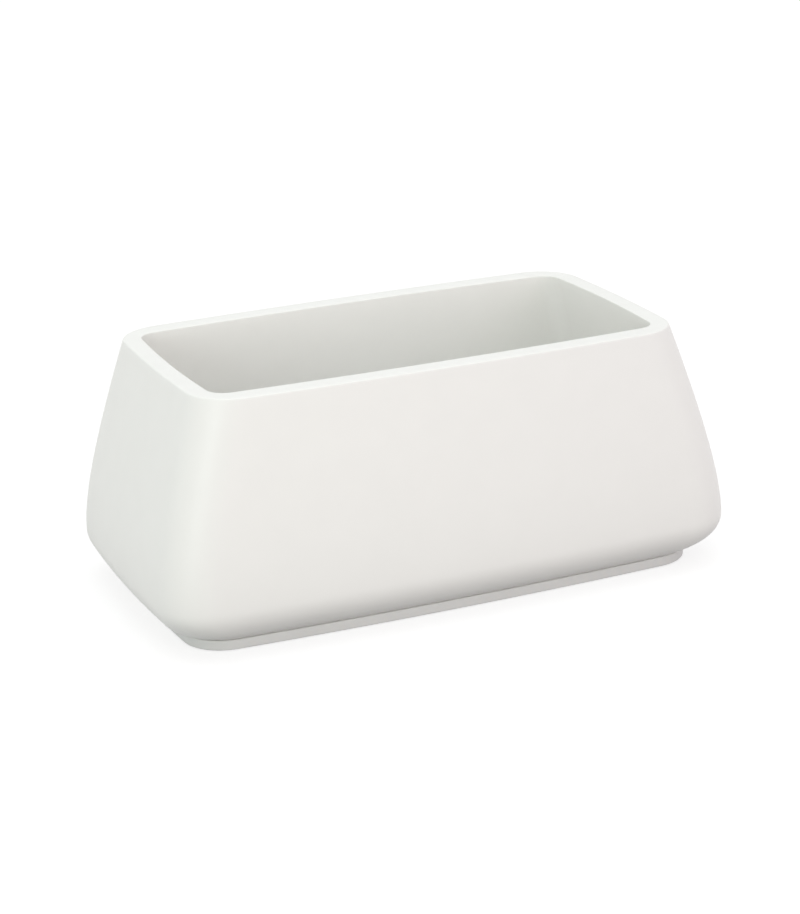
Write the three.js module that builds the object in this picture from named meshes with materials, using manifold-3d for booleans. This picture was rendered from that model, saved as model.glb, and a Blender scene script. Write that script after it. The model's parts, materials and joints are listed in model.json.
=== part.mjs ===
// Low rectangular planter: a double-walled moulded body on a recessed base plinth.
// Millimetres, +Z up, +X along the length. The origin is the middle of the footprint, on the ground.

import * as THREE from 'three';
import { mergeVertices } from 'three/addons/utils/BufferGeometryUtils.js';
import Module from 'manifold-3d';

const wasm = await Module();
wasm.setup();

// Body, outside
const HEIGHT = 413;
const RIM_LENGTH = 839;
const RIM_WIDTH = 485;
const RIM_CORNER_RADIUS = 78;
const RIM_END_BOW = 9;
const RIM_SIDE_BOW = 10.5;
const RIM_OUTER_EDGE_RADIUS = 4;
const RIM_INNER_EDGE_RADIUS = 2.5;
const BELT_LENGTH = 1000;
const BELT_WIDTH = 566;
const BELT_HEIGHT = 84;
const BELT_CORNER_RADIUS = 80;
const BELT_END_BOW = 12;
const BELT_SIDE_BOW = 14;

// Curve of the side walls, rim to belt: how much of their spread they lean out over a first drop,
// and how far above the belt they begin to turn upright
const WALL_TOP_LEAN = 0.3;
const WALL_TOP_DROP = 75;
const WALL_BELT_RISE = 83;

// Curve of the underside, belt to plinth
const UNDERSIDE_BELT_DROP = 36;
const UNDERSIDE_FLAT_RUN = 16;
const UNDERSIDE_FLAT_RISE = 9.5;

// Body, inside
const SKIN = 5;
const RIM_FACE_ENDS = 31;
const RIM_FACE_SIDES = 37;
const OPENING_CORNER_RADIUS = 32;
const SPACE_CORNER_RADIUS = 48;
const FLOOR_HEIGHT = 62;
const FLOOR_CORNER_RADIUS = 35;

// Base plinth
const PLINTH_TOP = 20;
const PLINTH_INSET = 48;
const PLINTH_SETBACK = 1.5;
const PLINTH_CORNER_RADIUS = 74;
const PLINTH_EDGE_RADIUS = 2;
const PLINTH_WALL = 4.5;
const PLINTH_WEB = 4;
const LIP_WIDTH = 28;
const REGISTER_HEIGHT = 5;
const REGISTER_WALL = 3;
const RIB_THICKNESS = 3;
const RIB_CLEARANCE = 4;
const SIDE_RIB_OFFSET = 80;
const CROSS_RIB_PITCH = 150;
const CROSS_RIB_PAIRS = 2;

// Clearance between pieces that seat on or in each other
const SEAT_GAP = 0.3;

// Supports moulded into the floor
const SUPPORT_BASE_RADIUS = 24;
const SUPPORT_PITCH = 300;
const SUPPORT_OFFSET = 110;
const WELL_BASE_RADIUS = 40;
const SUPPORT_DRAFT = 0.3;

// Drains
const DRAIN_OFFSET = 150;
const DRAIN_BORE_RADIUS = 14;
const BUSHING_WALL = 3;
const BUSHING_FLANGE_RADIUS = 27;
const BUSHING_FLANGE_THICKNESS = 3.5;
const BUSHING_THREAD_END = 2.5;
const GASKET_THICKNESS = 2;
const NUT_THICKNESS = 8;
const NUT_ACROSS_FLATS = 50;
const SPANNER_ROOM = 7;
const PLUG_CLEARANCE = 0.6;
const PLUG_STEM_LENGTH = 17.5;
const PLUG_HEAD_RADIUS = 22;
const PLUG_HEAD_THICKNESS = 3.5;
const PLUG_GRIP_LENGTH = 34;
const PLUG_GRIP_THICKNESS = 5;
const PLUG_GRIP_HEIGHT = 12;
const SEAL_SECTION_RADIUS = 1.1;
const SEAL_DEPTH = 8;

// Base screws
const SCREW_PITCH = 300;
const SCREW_RADIUS = 3;
const SCREW_LENGTH = 24;
const SCREW_HEAD_RADIUS = 5.5;
const SCREW_HEAD_HEIGHT = 4;
const SCREW_SOCKET_ACROSS_FLATS = 4;
const SCREW_SOCKET_DEPTH = 2.4;
const WASHER_RADIUS = 7;
const WASHER_THICKNESS = 1.6;
const INSERT_RADIUS = 4.6;
const INSERT_LENGTH = 14;
const INSERT_BOSS_RADIUS = 10;
const INSERT_BOSS_HEIGHT = 22;
const SCREW_SEAT_HEIGHT = 11;
const SCREW_BOSS_WALL = 3;

// Foot pads
const PAD_RADIUS = 20;
const PAD_PROUD = 1.5;
const PAD_THICKNESS = 4.2;
const PAD_CUP_WALL = 3.5;
const PAD_END_INSET = 52;
const PAD_SIDE_INSET = 50;
const PAD_MIDDLE_INSET = 68;

// Chamfers
const FITTING_CHAMFER = 1;
const PLUG_TIP_CHAMFER = 1.5;
const SCREW_HEAD_CHAMFER = 1.2;
const SCREW_TIP_CHAMFER = 1;
const PAD_CHAMFER = 1;

// Facets
const END_STEPS = 2;
const CORNER_STEPS = 5;
const SIDE_STEPS = 3;
const ROUND_STEPS = 16;
const SMALL_ROUND_STEPS = 12;
const SEAL_SECTION_STEPS = 6;
const GRIP_CORNER_STEPS = 5;
const EDGE_STEPS = 4;
const INNER_EDGE_STEPS = 2;
const PLINTH_EDGE_STEPS = 3;
const OUTER_WALL_STEPS = 10;
const INNER_WALL_STEPS = 6;
const UNDERSIDE_STEPS = 6;
const HOLLOW_OUTER_STEPS = 5;
const HOLLOW_INNER_STEPS = 4;

// How far a cut runs past the face it opens
const OVERRUN = 1;

const white = '#f1f0ec';
const bodyFinish = new THREE.MeshStandardMaterial({ color: white, roughness: 0.62, metalness: 0 });
const plinthFinish = new THREE.MeshStandardMaterial({ color: '#e6e4e0', roughness: 0.66, metalness: 0 });
const plugFinish = new THREE.MeshStandardMaterial({ color: '#3a3c3e', roughness: 0.5, metalness: 0 });
const bushingFinish = new THREE.MeshStandardMaterial({ color: '#8b8e90', roughness: 0.55, metalness: 0 });
const rubberFinish = new THREE.MeshStandardMaterial({ color: '#1f2021', roughness: 0.85, metalness: 0 });
const steelFinish = new THREE.MeshStandardMaterial({ color: '#b9bcc0', roughness: 0.35, metalness: 1 });
const brassFinish = new THREE.MeshStandardMaterial({ color: '#b8924a', roughness: 0.4, metalness: 1 });

// Worked-out levels
const LIP_HEIGHT = PLINTH_TOP + SEAT_GAP;
const WEB_UNDERSIDE = PLINTH_TOP - PLINTH_WEB;
const WELL_FLOOR = LIP_HEIGHT + SKIN;
const GASKET_BOTTOM = WELL_FLOOR + SEAT_GAP;
const FLANGE_BOTTOM = GASKET_BOTTOM + GASKET_THICKNESS + SEAT_GAP;
const FLANGE_TOP = FLANGE_BOTTOM + BUSHING_FLANGE_THICKNESS;
const NUT_TOP = LIP_HEIGHT - SEAT_GAP;
const BUSHING_BOTTOM = NUT_TOP - NUT_THICKNESS - BUSHING_THREAD_END;
const BUSHING_RADIUS = DRAIN_BORE_RADIUS + BUSHING_WALL;
const DRAIN_HOLE_RADIUS = BUSHING_RADIUS + SEAT_GAP;
const LIP_MIDDLE = LIP_WIDTH / 2;

const lerp = THREE.MathUtils.lerp;

// One coordinate of a cubic curve with ends a, d and handles b, c
function cubic(a, b, c, d, share) {
  const rest = 1 - share;
  return rest ** 3 * a + 3 * rest ** 2 * share * b + 3 * rest * share ** 2 * c + share ** 3 * d;
}

function shares(steps) {
  return Array.from({ length: steps + 1 }, (_, step) => step / steps);
}

function arcPoints(centre, radius, from, to, steps) {
  return shares(steps).map((share) => {
    const angle = lerp(from, to, share);
    return new THREE.Vector2(centre.x + radius * Math.cos(angle), centre.y + radius * Math.sin(angle));
  });
}

// Radius of an arc that bows out by `bow` over a half chord
function bowRadius(halfChord, bow) {
  return (halfChord ** 2 + bow ** 2) / (2 * bow);
}

// Meeting point of two circles that lies furthest into the first quadrant
function cornerCentre(centreA, radiusA, centreB, radiusB) {
  const between = centreB.clone().sub(centreA);
  const distance = between.length();
  const along = (radiusA ** 2 - radiusB ** 2 + distance ** 2) / (2 * distance);
  const across = Math.sqrt(radiusA ** 2 - along ** 2);
  const direction = between.normalize();
  const foot = centreA.clone().addScaledVector(direction, along);
  return foot.add(new THREE.Vector2(-direction.y, direction.x).multiplyScalar(across));
}

// Plan outline: a rectangle with four bowed sides and round corners tangent to them, counter-clockwise
function planOutline({ halfLength, halfWidth, endBow, sideBow, cornerRadius }) {
  const sideRadius = bowRadius(halfLength, sideBow);
  const endRadius = bowRadius(halfWidth, endBow);
  const sideCentre = new THREE.Vector2(0, halfWidth - sideRadius);
  const endCentre = new THREE.Vector2(halfLength - endRadius, 0);
  const corner = cornerCentre(endCentre, endRadius - cornerRadius, sideCentre, sideRadius - cornerRadius);
  const endAngle = corner.clone().sub(endCentre).angle();
  const sideAngle = corner.clone().sub(sideCentre).angle();
  const quarter = [
    ...arcPoints(endCentre, endRadius, 0, endAngle, END_STEPS),
    ...arcPoints(corner, cornerRadius, endAngle, sideAngle, CORNER_STEPS).slice(1),
    ...arcPoints(sideCentre, sideRadius, sideAngle, Math.PI / 2, SIDE_STEPS).slice(1),
  ];
  const mirrored = [...quarter].reverse().map((point) => new THREE.Vector2(-point.x, point.y));
  const half = [...quarter, ...mirrored.slice(1)];
  const turned = half.map((point) => point.clone().negate());
  return [...half.slice(0, -1), ...turned.slice(0, -1)];
}

// Width of the plan at a place along it, from the bowed side
function sideReach({ halfLength, halfWidth, sideBow }, x) {
  const radius = bowRadius(halfLength, sideBow);
  return halfWidth - radius + Math.sqrt(radius ** 2 - x ** 2);
}

// The same plan, larger by a distance all round (smaller when negative)
function grow(plan, distance) {
  return {
    ...plan,
    halfLength: plan.halfLength + distance,
    halfWidth: plan.halfWidth + distance,
    cornerRadius: plan.cornerRadius + distance,
  };
}

function ringPoints(station) {
  return planOutline(station).map((point) => new THREE.Vector3(point.x, point.y, station.z));
}

// Closed body through plan outlines, capped on the middle of its first and last one
function loft(stations) {
  const rings = stations.map(ringPoints);
  const count = rings[0].length;
  const points = rings.flat();
  const first = points.push(new THREE.Vector3(0, 0, stations[0].z)) - 1;
  const last = points.push(new THREE.Vector3(0, 0, stations.at(-1).z)) - 1;
  const lastRing = (rings.length - 1) * count;
  const triangles = [];
  for (let k = 0; k < count; k += 1) {
    const next = (k + 1) % count;
    triangles.push(first, k, next);
    triangles.push(last, lastRing + next, lastRing + k);
    for (let ring = 0; ring < lastRing; ring += count) {
      triangles.push(ring + k, ring + count + k, ring + count + next);
      triangles.push(ring + k, ring + count + next, ring + next);
    }
  }
  const geometry = new THREE.BufferGeometry().setFromPoints(points);
  geometry.setIndex(triangles);
  return geometry;
}

function solid(geometry) {
  const bare = geometry.clone();
  bare.deleteAttribute('normal');
  bare.deleteAttribute('uv');
  const merged = mergeVertices(bare);
  const index = merged.index.array;
  const kept = [];
  for (let k = 0; k < index.length; k += 3) {
    const [a, b, c] = index.subarray(k, k + 3);
    if (a !== b && b !== c && c !== a) kept.push(a, b, c);
  }
  return new wasm.Manifold(new wasm.Mesh({
    numProp: 3,
    vertProperties: new Float32Array(merged.attributes.position.array),
    triVerts: new Uint32Array(kept),
  }));
}

function geometryOf(manifold) {
  const mesh = manifold.getMesh();
  const geometry = new THREE.BufferGeometry();
  geometry.setAttribute('position', new THREE.BufferAttribute(new Float32Array(mesh.vertProperties), 3));
  geometry.setIndex(Array.from(mesh.triVerts));
  return geometry;
}

// Solid of revolution about +Z from [radius, height] points, listed with the material on their left
function turned(profile, steps) {
  const points = profile.map(([radius, height]) => new THREE.Vector2(radius, height));
  return new THREE.LatheGeometry(points, steps).rotateX(Math.PI / 2);
}

function disc(radius, bottom, top, steps = ROUND_STEPS) {
  return turned([[0, bottom], [radius, bottom], [radius, top], [0, top]], steps);
}

function ring(innerRadius, outerRadius, bottom, top, steps = ROUND_STEPS) {
  return turned([
    [innerRadius, bottom],
    [outerRadius, bottom],
    [outerRadius, top],
    [innerRadius, top],
    [innerRadius, bottom],
  ], steps);
}

function cone(bottomRadius, bottom, top, steps) {
  const topRadius = bottomRadius + (top - bottom) * SUPPORT_DRAFT;
  return turned([[0, bottom], [bottomRadius, bottom], [topRadius, top], [0, top]], steps);
}

// Distance from the middle of a hexagon to its corners
function hexagonRadius(acrossFlats) {
  return acrossFlats / Math.sqrt(3);
}

function hexagon(acrossFlats) {
  const radius = hexagonRadius(acrossFlats);
  const corners = Array.from({ length: 6 }, (_, k) => (k * Math.PI) / 3);
  return new THREE.Shape(corners.map((angle) => new THREE.Vector2(
    radius * Math.cos(angle),
    radius * Math.sin(angle),
  )));
}

function prism(shape, bottom, top) {
  return new THREE.ExtrudeGeometry(shape, { depth: top - bottom, bevelEnabled: false })
    .translate(0, 0, bottom);
}

function box(lengthX, lengthY, bottom, top) {
  return new THREE.BoxGeometry(lengthX, lengthY, top - bottom).translate(0, 0, (top + bottom) / 2);
}

function at(geometry, place) {
  return geometry.clone().translate(place.x, place.y, 0);
}

// Plans of the body
const beltPlan = {
  halfLength: BELT_LENGTH / 2,
  halfWidth: BELT_WIDTH / 2,
  endBow: BELT_END_BOW,
  sideBow: BELT_SIDE_BOW,
  cornerRadius: BELT_CORNER_RADIUS,
};
const rimPlan = {
  halfLength: RIM_LENGTH / 2,
  halfWidth: RIM_WIDTH / 2,
  endBow: RIM_END_BOW,
  sideBow: RIM_SIDE_BOW,
  cornerRadius: RIM_CORNER_RADIUS,
};
const footPlan = { ...grow(beltPlan, -PLINTH_INSET), cornerRadius: PLINTH_CORNER_RADIUS };
const plinthPlan = grow(footPlan, -PLINTH_SETBACK);
const lipPlan = grow(footPlan, -LIP_WIDTH);

function blendPlans(from, to, share) {
  const names = ['halfLength', 'halfWidth', 'endBow', 'sideBow', 'cornerRadius'];
  return Object.fromEntries(names.map((name) => [name, lerp(from[name], to[name], share)]));
}

// Outer face of the side wall, from the rim (share 0) to the belt (share 1)
function outerWall(share) {
  const towardsRim = cubic(1, 1 - WALL_TOP_LEAN, 0, 0, share);
  const height = cubic(HEIGHT, HEIGHT - WALL_TOP_DROP, BELT_HEIGHT + WALL_BELT_RISE, BELT_HEIGHT, share);
  return { ...blendPlans(beltPlan, rimPlan, towardsRim), z: height };
}

// Face of the planting space, which follows the outer face at the rim's breadth
function innerWall(share) {
  const outer = outerWall(share);
  return {
    ...outer,
    halfLength: outer.halfLength - RIM_FACE_ENDS,
    halfWidth: outer.halfWidth - RIM_FACE_SIDES,
    cornerRadius: lerp(OPENING_CORNER_RADIUS, SPACE_CORNER_RADIUS, share),
  };
}

// Share of the side wall's curve at a height
function shareAtHeight(height) {
  let low = 0;
  let high = 1;
  for (let step = 0; step < 40; step += 1) {
    const middle = (low + high) / 2;
    if (outerWall(middle).z > height) low = middle;
    else high = middle;
  }
  return (low + high) / 2;
}

function wallStations(wall, fromHeight, toHeight, steps) {
  const from = shareAtHeight(fromHeight);
  const to = shareAtHeight(toHeight);
  return shares(steps).map((share) => wall(lerp(from, to, share)));
}

// Underside from the belt (share 0) to the plinth (share 1), set in by `depth` along its normal
function underside(share, depth) {
  const inset = [0, 0, PLINTH_INSET - UNDERSIDE_FLAT_RUN, PLINTH_INSET];
  const height = [
    BELT_HEIGHT,
    BELT_HEIGHT - UNDERSIDE_BELT_DROP,
    LIP_HEIGHT + UNDERSIDE_FLAT_RISE,
    LIP_HEIGHT,
  ];
  const slope = (values) => cubic(
    values[1] - values[0],
    lerp(values[1] - values[0], values[2] - values[1], 2 / 3),
    lerp(values[2] - values[1], values[3] - values[2], 1 / 3),
    values[3] - values[2],
    share,
  );
  const normal = new THREE.Vector2(-slope(height), slope(inset)).normalize();
  const setIn = cubic(...inset, share) + normal.x * depth;
  const cornerRadius = lerp(BELT_CORNER_RADIUS, PLINTH_CORNER_RADIUS, share) - normal.x * depth;
  return { ...grow(beltPlan, -setIn), cornerRadius, z: cubic(...height, share) + normal.y * depth };
}

// Quarter-round edge between an upright wall plan at `z` and a level face `rise` away
function roundEdge(plan, z, radius, rise, steps, fromWall) {
  const order = fromWall ? shares(steps) : shares(steps).reverse();
  return order.map((share) => {
    const angle = (share * Math.PI) / 2;
    return { ...grow(plan, -radius * (1 - Math.cos(angle))), z: z + rise * radius * Math.sin(angle) };
  });
}

// Floor corner, from the level floor up to the wall of the planting space
function floorCorner(radius, floor, clearance) {
  const wall = grow(innerWall(shareAtHeight(FLOOR_HEIGHT + FLOOR_CORNER_RADIUS)), clearance);
  return roundEdge(wall, floor + radius, radius, -1, EDGE_STEPS, false);
}

function bodyShell() {
  const edgeTop = HEIGHT - RIM_INNER_EDGE_RADIUS;
  const opening = innerWall(0);
  const space = [
    ...floorCorner(FLOOR_CORNER_RADIUS, FLOOR_HEIGHT, 0),
    ...wallStations(innerWall, FLOOR_HEIGHT + FLOOR_CORNER_RADIUS, edgeTop, INNER_WALL_STEPS).slice(1),
  ];
  const innerEdge = shares(INNER_EDGE_STEPS).slice(1).map((share) => {
    const angle = (share * Math.PI) / 2;
    const run = RIM_INNER_EDGE_RADIUS * (1 - Math.cos(angle));
    return { ...grow(opening, run), z: edgeTop + RIM_INNER_EDGE_RADIUS * Math.sin(angle) };
  });
  const wallTop = HEIGHT - RIM_OUTER_EDGE_RADIUS;
  const outerEdge = roundEdge(rimPlan, wallTop, RIM_OUTER_EDGE_RADIUS, 1, EDGE_STEPS, false);
  const outside = [
    ...outerEdge.slice(0, -1),
    ...wallStations(outerWall, wallTop, BELT_HEIGHT, OUTER_WALL_STEPS),
    ...shares(UNDERSIDE_STEPS).slice(1).map((share) => underside(share, 0)),
  ];
  const lip = [
    { ...lipPlan, z: LIP_HEIGHT },
    { ...lipPlan, z: LIP_HEIGHT + SKIN },
  ];
  const rimUnderside = HEIGHT - SKIN;
  const outerBack = (share) => grow(outerWall(share), -SKIN);
  const innerBack = (share) => grow(innerWall(share), SKIN);
  const hollow = [
    ...shares(HOLLOW_OUTER_STEPS).reverse().map((share) => underside(share, SKIN)),
    ...wallStations(outerBack, BELT_HEIGHT, rimUnderside, HOLLOW_OUTER_STEPS).slice(1),
    ...wallStations(innerBack, rimUnderside, FLOOR_HEIGHT + FLOOR_CORNER_RADIUS, HOLLOW_INNER_STEPS),
    ...floorCorner(FLOOR_CORNER_RADIUS + SKIN, FLOOR_HEIGHT - SKIN, SKIN).reverse().slice(1),
  ];
  return loft([...space, ...innerEdge, ...outside, ...lip, ...hollow]);
}

// Places that pieces share
const supportPlaces = [-1, 0, 1].flatMap((column) => [-1, 1].map((side) => (
  new THREE.Vector2(column * SUPPORT_PITCH, side * SUPPORT_OFFSET)
)));
const drainPlaces = {
  left: new THREE.Vector2(-DRAIN_OFFSET, 0),
  right: new THREE.Vector2(DRAIN_OFFSET, 0),
};
const screwPlaces = [
  ...[-1, 0, 1].flatMap((column) => [-1, 1].map((side) => {
    const x = column * SCREW_PITCH;
    return new THREE.Vector2(x, side * (sideReach(footPlan, x) - LIP_MIDDLE));
  })),
  ...[-1, 1].map((end) => new THREE.Vector2(end * (footPlan.halfLength - LIP_MIDDLE), 0)),
];
const padPlaces = [
  ...[-1, 1].flatMap((end) => [-1, 1].map((side) => (
    new THREE.Vector2(
      end * (plinthPlan.halfLength - PAD_END_INSET),
      side * (plinthPlan.halfWidth - PAD_SIDE_INSET),
    )
  ))),
  ...[-1, 1].map((side) => new THREE.Vector2(0, side * (plinthPlan.halfWidth - PAD_MIDDLE_INSET))),
];

// A hollow cone drawn down from the floor to the plinth
function moulded(baseRadius, place) {
  const overrun = FLOOR_HEIGHT + SKIN;
  return {
    wall: solid(at(cone(baseRadius, LIP_HEIGHT, FLOOR_HEIGHT - SKIN / 2, ROUND_STEPS), place)),
    space: solid(at(cone(baseRadius - SKIN, WELL_FLOOR, overrun, ROUND_STEPS), place)),
  };
}

function planterBody() {
  const cones = [
    ...supportPlaces.map((place) => moulded(SUPPORT_BASE_RADIUS, place)),
    ...Object.values(drainPlaces).map((place) => moulded(WELL_BASE_RADIUS, place)),
  ];
  const insertBosses = screwPlaces.map((place) => (
    solid(at(disc(INSERT_BOSS_RADIUS, LIP_HEIGHT, LIP_HEIGHT + INSERT_BOSS_HEIGHT, SMALL_ROUND_STEPS), place))
  ));
  const insertHole = disc(
    INSERT_RADIUS + SEAT_GAP,
    LIP_HEIGHT - SKIN,
    LIP_HEIGHT + INSERT_BOSS_HEIGHT - SKIN,
    SMALL_ROUND_STEPS,
  );
  const drainHole = disc(DRAIN_HOLE_RADIUS, LIP_HEIGHT - SKIN, WELL_FLOOR + SKIN);
  let body = solid(bodyShell());
  for (const part of [...cones.map(({ wall }) => wall), ...insertBosses]) body = body.add(part);
  for (const { space } of cones) body = body.subtract(space);
  for (const place of screwPlaces) body = body.subtract(solid(at(insertHole, place)));
  for (const place of Object.values(drainPlaces)) body = body.subtract(solid(at(drainHole, place)));
  return geometryOf(body);
}

function plinthBlock(plan, bottom, top) {
  return solid(loft([{ ...plan, z: top }, { ...plan, z: bottom }]));
}

function basePlinth() {
  const outer = loft([
    { ...plinthPlan, z: PLINTH_TOP },
    ...roundEdge(plinthPlan, PAD_PROUD + PLINTH_EDGE_RADIUS, PLINTH_EDGE_RADIUS, -1, PLINTH_EDGE_STEPS, true),
  ]);
  const inside = grow(plinthPlan, -PLINTH_WALL);
  const pocket = plinthBlock(inside, PAD_PROUD - PLINTH_EDGE_RADIUS, WEB_UNDERSIDE);
  const ribBottom = PAD_PROUD + RIB_CLEARANCE;
  const ribTop = WEB_UNDERSIDE + PLINTH_WEB / 2;
  const crossRibs = Array.from({ length: 2 * CROSS_RIB_PAIRS + 1 }, (_, k) => k - CROSS_RIB_PAIRS)
    .filter((column) => Math.abs(column * CROSS_RIB_PITCH) !== DRAIN_OFFSET)
    .map((column) => box(RIB_THICKNESS, plinthPlan.halfWidth * 2, ribBottom, ribTop)
      .translate(column * CROSS_RIB_PITCH, 0, 0));
  const longRibs = [-1, 1].map((side) => (
    box(plinthPlan.halfLength * 2, RIB_THICKNESS, ribBottom, ribTop).translate(0, side * SIDE_RIB_OFFSET, 0)
  ));
  const ribSpace = plinthBlock(grow(inside, PLINTH_WALL / 2), ribBottom, ribTop);
  const screwBoss = disc(WASHER_RADIUS + SEAT_GAP + SCREW_BOSS_WALL, ribBottom, ribTop, SMALL_ROUND_STEPS);
  const padCup = disc(PAD_RADIUS + SEAT_GAP + PAD_CUP_WALL, PAD_PROUD, ribTop);
  const screwPocket = disc(WASHER_RADIUS + SEAT_GAP, 0, SCREW_SEAT_HEIGHT, SMALL_ROUND_STEPS);
  const screwHole = disc(SCREW_RADIUS + SEAT_GAP, 0, PLINTH_TOP + SKIN, SMALL_ROUND_STEPS);
  const padSeat = disc(PAD_RADIUS + SEAT_GAP, 0, PAD_THICKNESS + SEAT_GAP);
  const nutAccess = disc(hexagonRadius(NUT_ACROSS_FLATS) + SPANNER_ROOM, 0, PLINTH_TOP + SKIN);

  let stiffening = solid(longRibs[0]).add(solid(longRibs[1]));
  for (const rib of crossRibs) stiffening = stiffening.add(solid(rib));
  stiffening = stiffening.intersect(ribSpace);
  const registerPlan = grow(lipPlan, -SEAT_GAP);
  const registerTop = PLINTH_TOP + REGISTER_HEIGHT;
  const registerInside = grow(registerPlan, -REGISTER_WALL);
  const register = plinthBlock(registerPlan, ribTop, registerTop)
    .subtract(plinthBlock(registerInside, ribTop - OVERRUN, registerTop + OVERRUN));
  let plinth = solid(outer).subtract(pocket).add(stiffening).add(register);
  for (const place of screwPlaces) plinth = plinth.add(solid(at(screwBoss, place)));
  for (const place of padPlaces) plinth = plinth.add(solid(at(padCup, place)));
  for (const place of screwPlaces) {
    plinth = plinth.subtract(solid(at(screwPocket, place))).subtract(solid(at(screwHole, place)));
  }
  for (const place of padPlaces) plinth = plinth.subtract(solid(at(padSeat, place)));
  for (const place of Object.values(drainPlaces)) plinth = plinth.subtract(solid(at(nutAccess, place)));
  return geometryOf(plinth);
}

function drainBushing() {
  return turned([
    [DRAIN_BORE_RADIUS, BUSHING_BOTTOM],
    [BUSHING_RADIUS, BUSHING_BOTTOM],
    [BUSHING_RADIUS, FLANGE_BOTTOM],
    [BUSHING_FLANGE_RADIUS, FLANGE_BOTTOM],
    [BUSHING_FLANGE_RADIUS, FLANGE_TOP - FITTING_CHAMFER],
    [BUSHING_FLANGE_RADIUS - FITTING_CHAMFER, FLANGE_TOP],
    [DRAIN_BORE_RADIUS, FLANGE_TOP],
    [DRAIN_BORE_RADIUS, BUSHING_BOTTOM],
  ], ROUND_STEPS);
}

function bushingGasket() {
  const radius = BUSHING_FLANGE_RADIUS - FITTING_CHAMFER;
  return ring(DRAIN_HOLE_RADIUS, radius, GASKET_BOTTOM, GASKET_BOTTOM + GASKET_THICKNESS);
}

function bushingNut() {
  const shape = hexagon(NUT_ACROSS_FLATS);
  const bore = new THREE.Path(arcPoints(new THREE.Vector2(), DRAIN_HOLE_RADIUS, 0, 2 * Math.PI, ROUND_STEPS)
    .slice(0, -1));
  shape.holes.push(bore);
  return prism(shape, NUT_TOP - NUT_THICKNESS, NUT_TOP);
}

const SEAL_MIDDLE_RADIUS = DRAIN_BORE_RADIUS - SEAT_GAP - SEAL_SECTION_RADIUS;
const PLUG_HEAD_BOTTOM = FLANGE_TOP + SEAT_GAP;
const SEAL_HEIGHT = PLUG_HEAD_BOTTOM - SEAL_DEPTH;

function drainPlug() {
  const stemRadius = DRAIN_BORE_RADIUS - PLUG_CLEARANCE;
  const grooveRadius = SEAL_MIDDLE_RADIUS - SEAL_SECTION_RADIUS - SEAT_GAP;
  const grooveHalf = SEAL_SECTION_RADIUS + SEAT_GAP;
  const stemBottom = PLUG_HEAD_BOTTOM - PLUG_STEM_LENGTH;
  const headTop = PLUG_HEAD_BOTTOM + PLUG_HEAD_THICKNESS;
  const stem = turned([
    [0, stemBottom],
    [stemRadius - PLUG_TIP_CHAMFER, stemBottom],
    [stemRadius, stemBottom + PLUG_TIP_CHAMFER],
    [stemRadius, SEAL_HEIGHT - grooveHalf],
    [grooveRadius, SEAL_HEIGHT - grooveHalf],
    [grooveRadius, SEAL_HEIGHT + grooveHalf],
    [stemRadius, SEAL_HEIGHT + grooveHalf],
    [stemRadius, PLUG_HEAD_BOTTOM],
    [PLUG_HEAD_RADIUS, PLUG_HEAD_BOTTOM],
    [PLUG_HEAD_RADIUS, headTop - FITTING_CHAMFER],
    [PLUG_HEAD_RADIUS - FITTING_CHAMFER, headTop],
    [0, headTop],
  ], ROUND_STEPS);
  const half = PLUG_GRIP_LENGTH / 2;
  const corner = PLUG_GRIP_HEIGHT / 2;
  const outline = new THREE.Shape();
  outline.moveTo(-half, -PLUG_HEAD_THICKNESS / 2);
  outline.lineTo(half, -PLUG_HEAD_THICKNESS / 2);
  outline.lineTo(half, PLUG_GRIP_HEIGHT - corner);
  outline.absarc(half - corner, PLUG_GRIP_HEIGHT - corner, corner, 0, Math.PI / 2, false);
  outline.absarc(corner - half, PLUG_GRIP_HEIGHT - corner, corner, Math.PI / 2, Math.PI, false);
  outline.closePath();
  const grip = new THREE.ExtrudeGeometry(outline, {
    depth: PLUG_GRIP_THICKNESS,
    bevelEnabled: false,
    curveSegments: GRIP_CORNER_STEPS,
  }).translate(0, 0, -PLUG_GRIP_THICKNESS / 2).rotateX(Math.PI / 2).translate(0, 0, headTop);
  return geometryOf(solid(stem).add(solid(grip)));
}

function plugSeal() {
  const section = arcPoints(
    new THREE.Vector2(SEAL_MIDDLE_RADIUS, SEAL_HEIGHT),
    SEAL_SECTION_RADIUS,
    0,
    2 * Math.PI,
    SEAL_SECTION_STEPS,
  );
  return turned(section.map((point) => [point.x, point.y]), ROUND_STEPS);
}

const WASHER_TOP = SCREW_SEAT_HEIGHT - SEAT_GAP;
const HEAD_TOP = WASHER_TOP - WASHER_THICKNESS - SEAT_GAP;

function baseScrew() {
  const headBottom = HEAD_TOP - SCREW_HEAD_HEIGHT;
  const tip = HEAD_TOP + SCREW_LENGTH;
  const screw = turned([
    [0, headBottom],
    [SCREW_HEAD_RADIUS - SCREW_HEAD_CHAMFER, headBottom],
    [SCREW_HEAD_RADIUS, headBottom + SCREW_HEAD_CHAMFER],
    [SCREW_HEAD_RADIUS, HEAD_TOP],
    [SCREW_RADIUS, HEAD_TOP],
    [SCREW_RADIUS, tip - SCREW_TIP_CHAMFER],
    [SCREW_RADIUS - SCREW_TIP_CHAMFER, tip],
    [0, tip],
  ], SMALL_ROUND_STEPS);
  const socket = hexagon(SCREW_SOCKET_ACROSS_FLATS);
  const cut = prism(socket, headBottom - OVERRUN, headBottom + SCREW_SOCKET_DEPTH);
  return geometryOf(solid(screw).subtract(solid(cut)));
}

function screwWasher() {
  return ring(
    SCREW_RADIUS + SEAT_GAP,
    WASHER_RADIUS,
    WASHER_TOP - WASHER_THICKNESS,
    WASHER_TOP,
    SMALL_ROUND_STEPS,
  );
}

function threadedInsert() {
  return ring(
    SCREW_RADIUS + SEAT_GAP,
    INSERT_RADIUS,
    LIP_HEIGHT,
    LIP_HEIGHT + INSERT_LENGTH,
    SMALL_ROUND_STEPS,
  );
}

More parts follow.
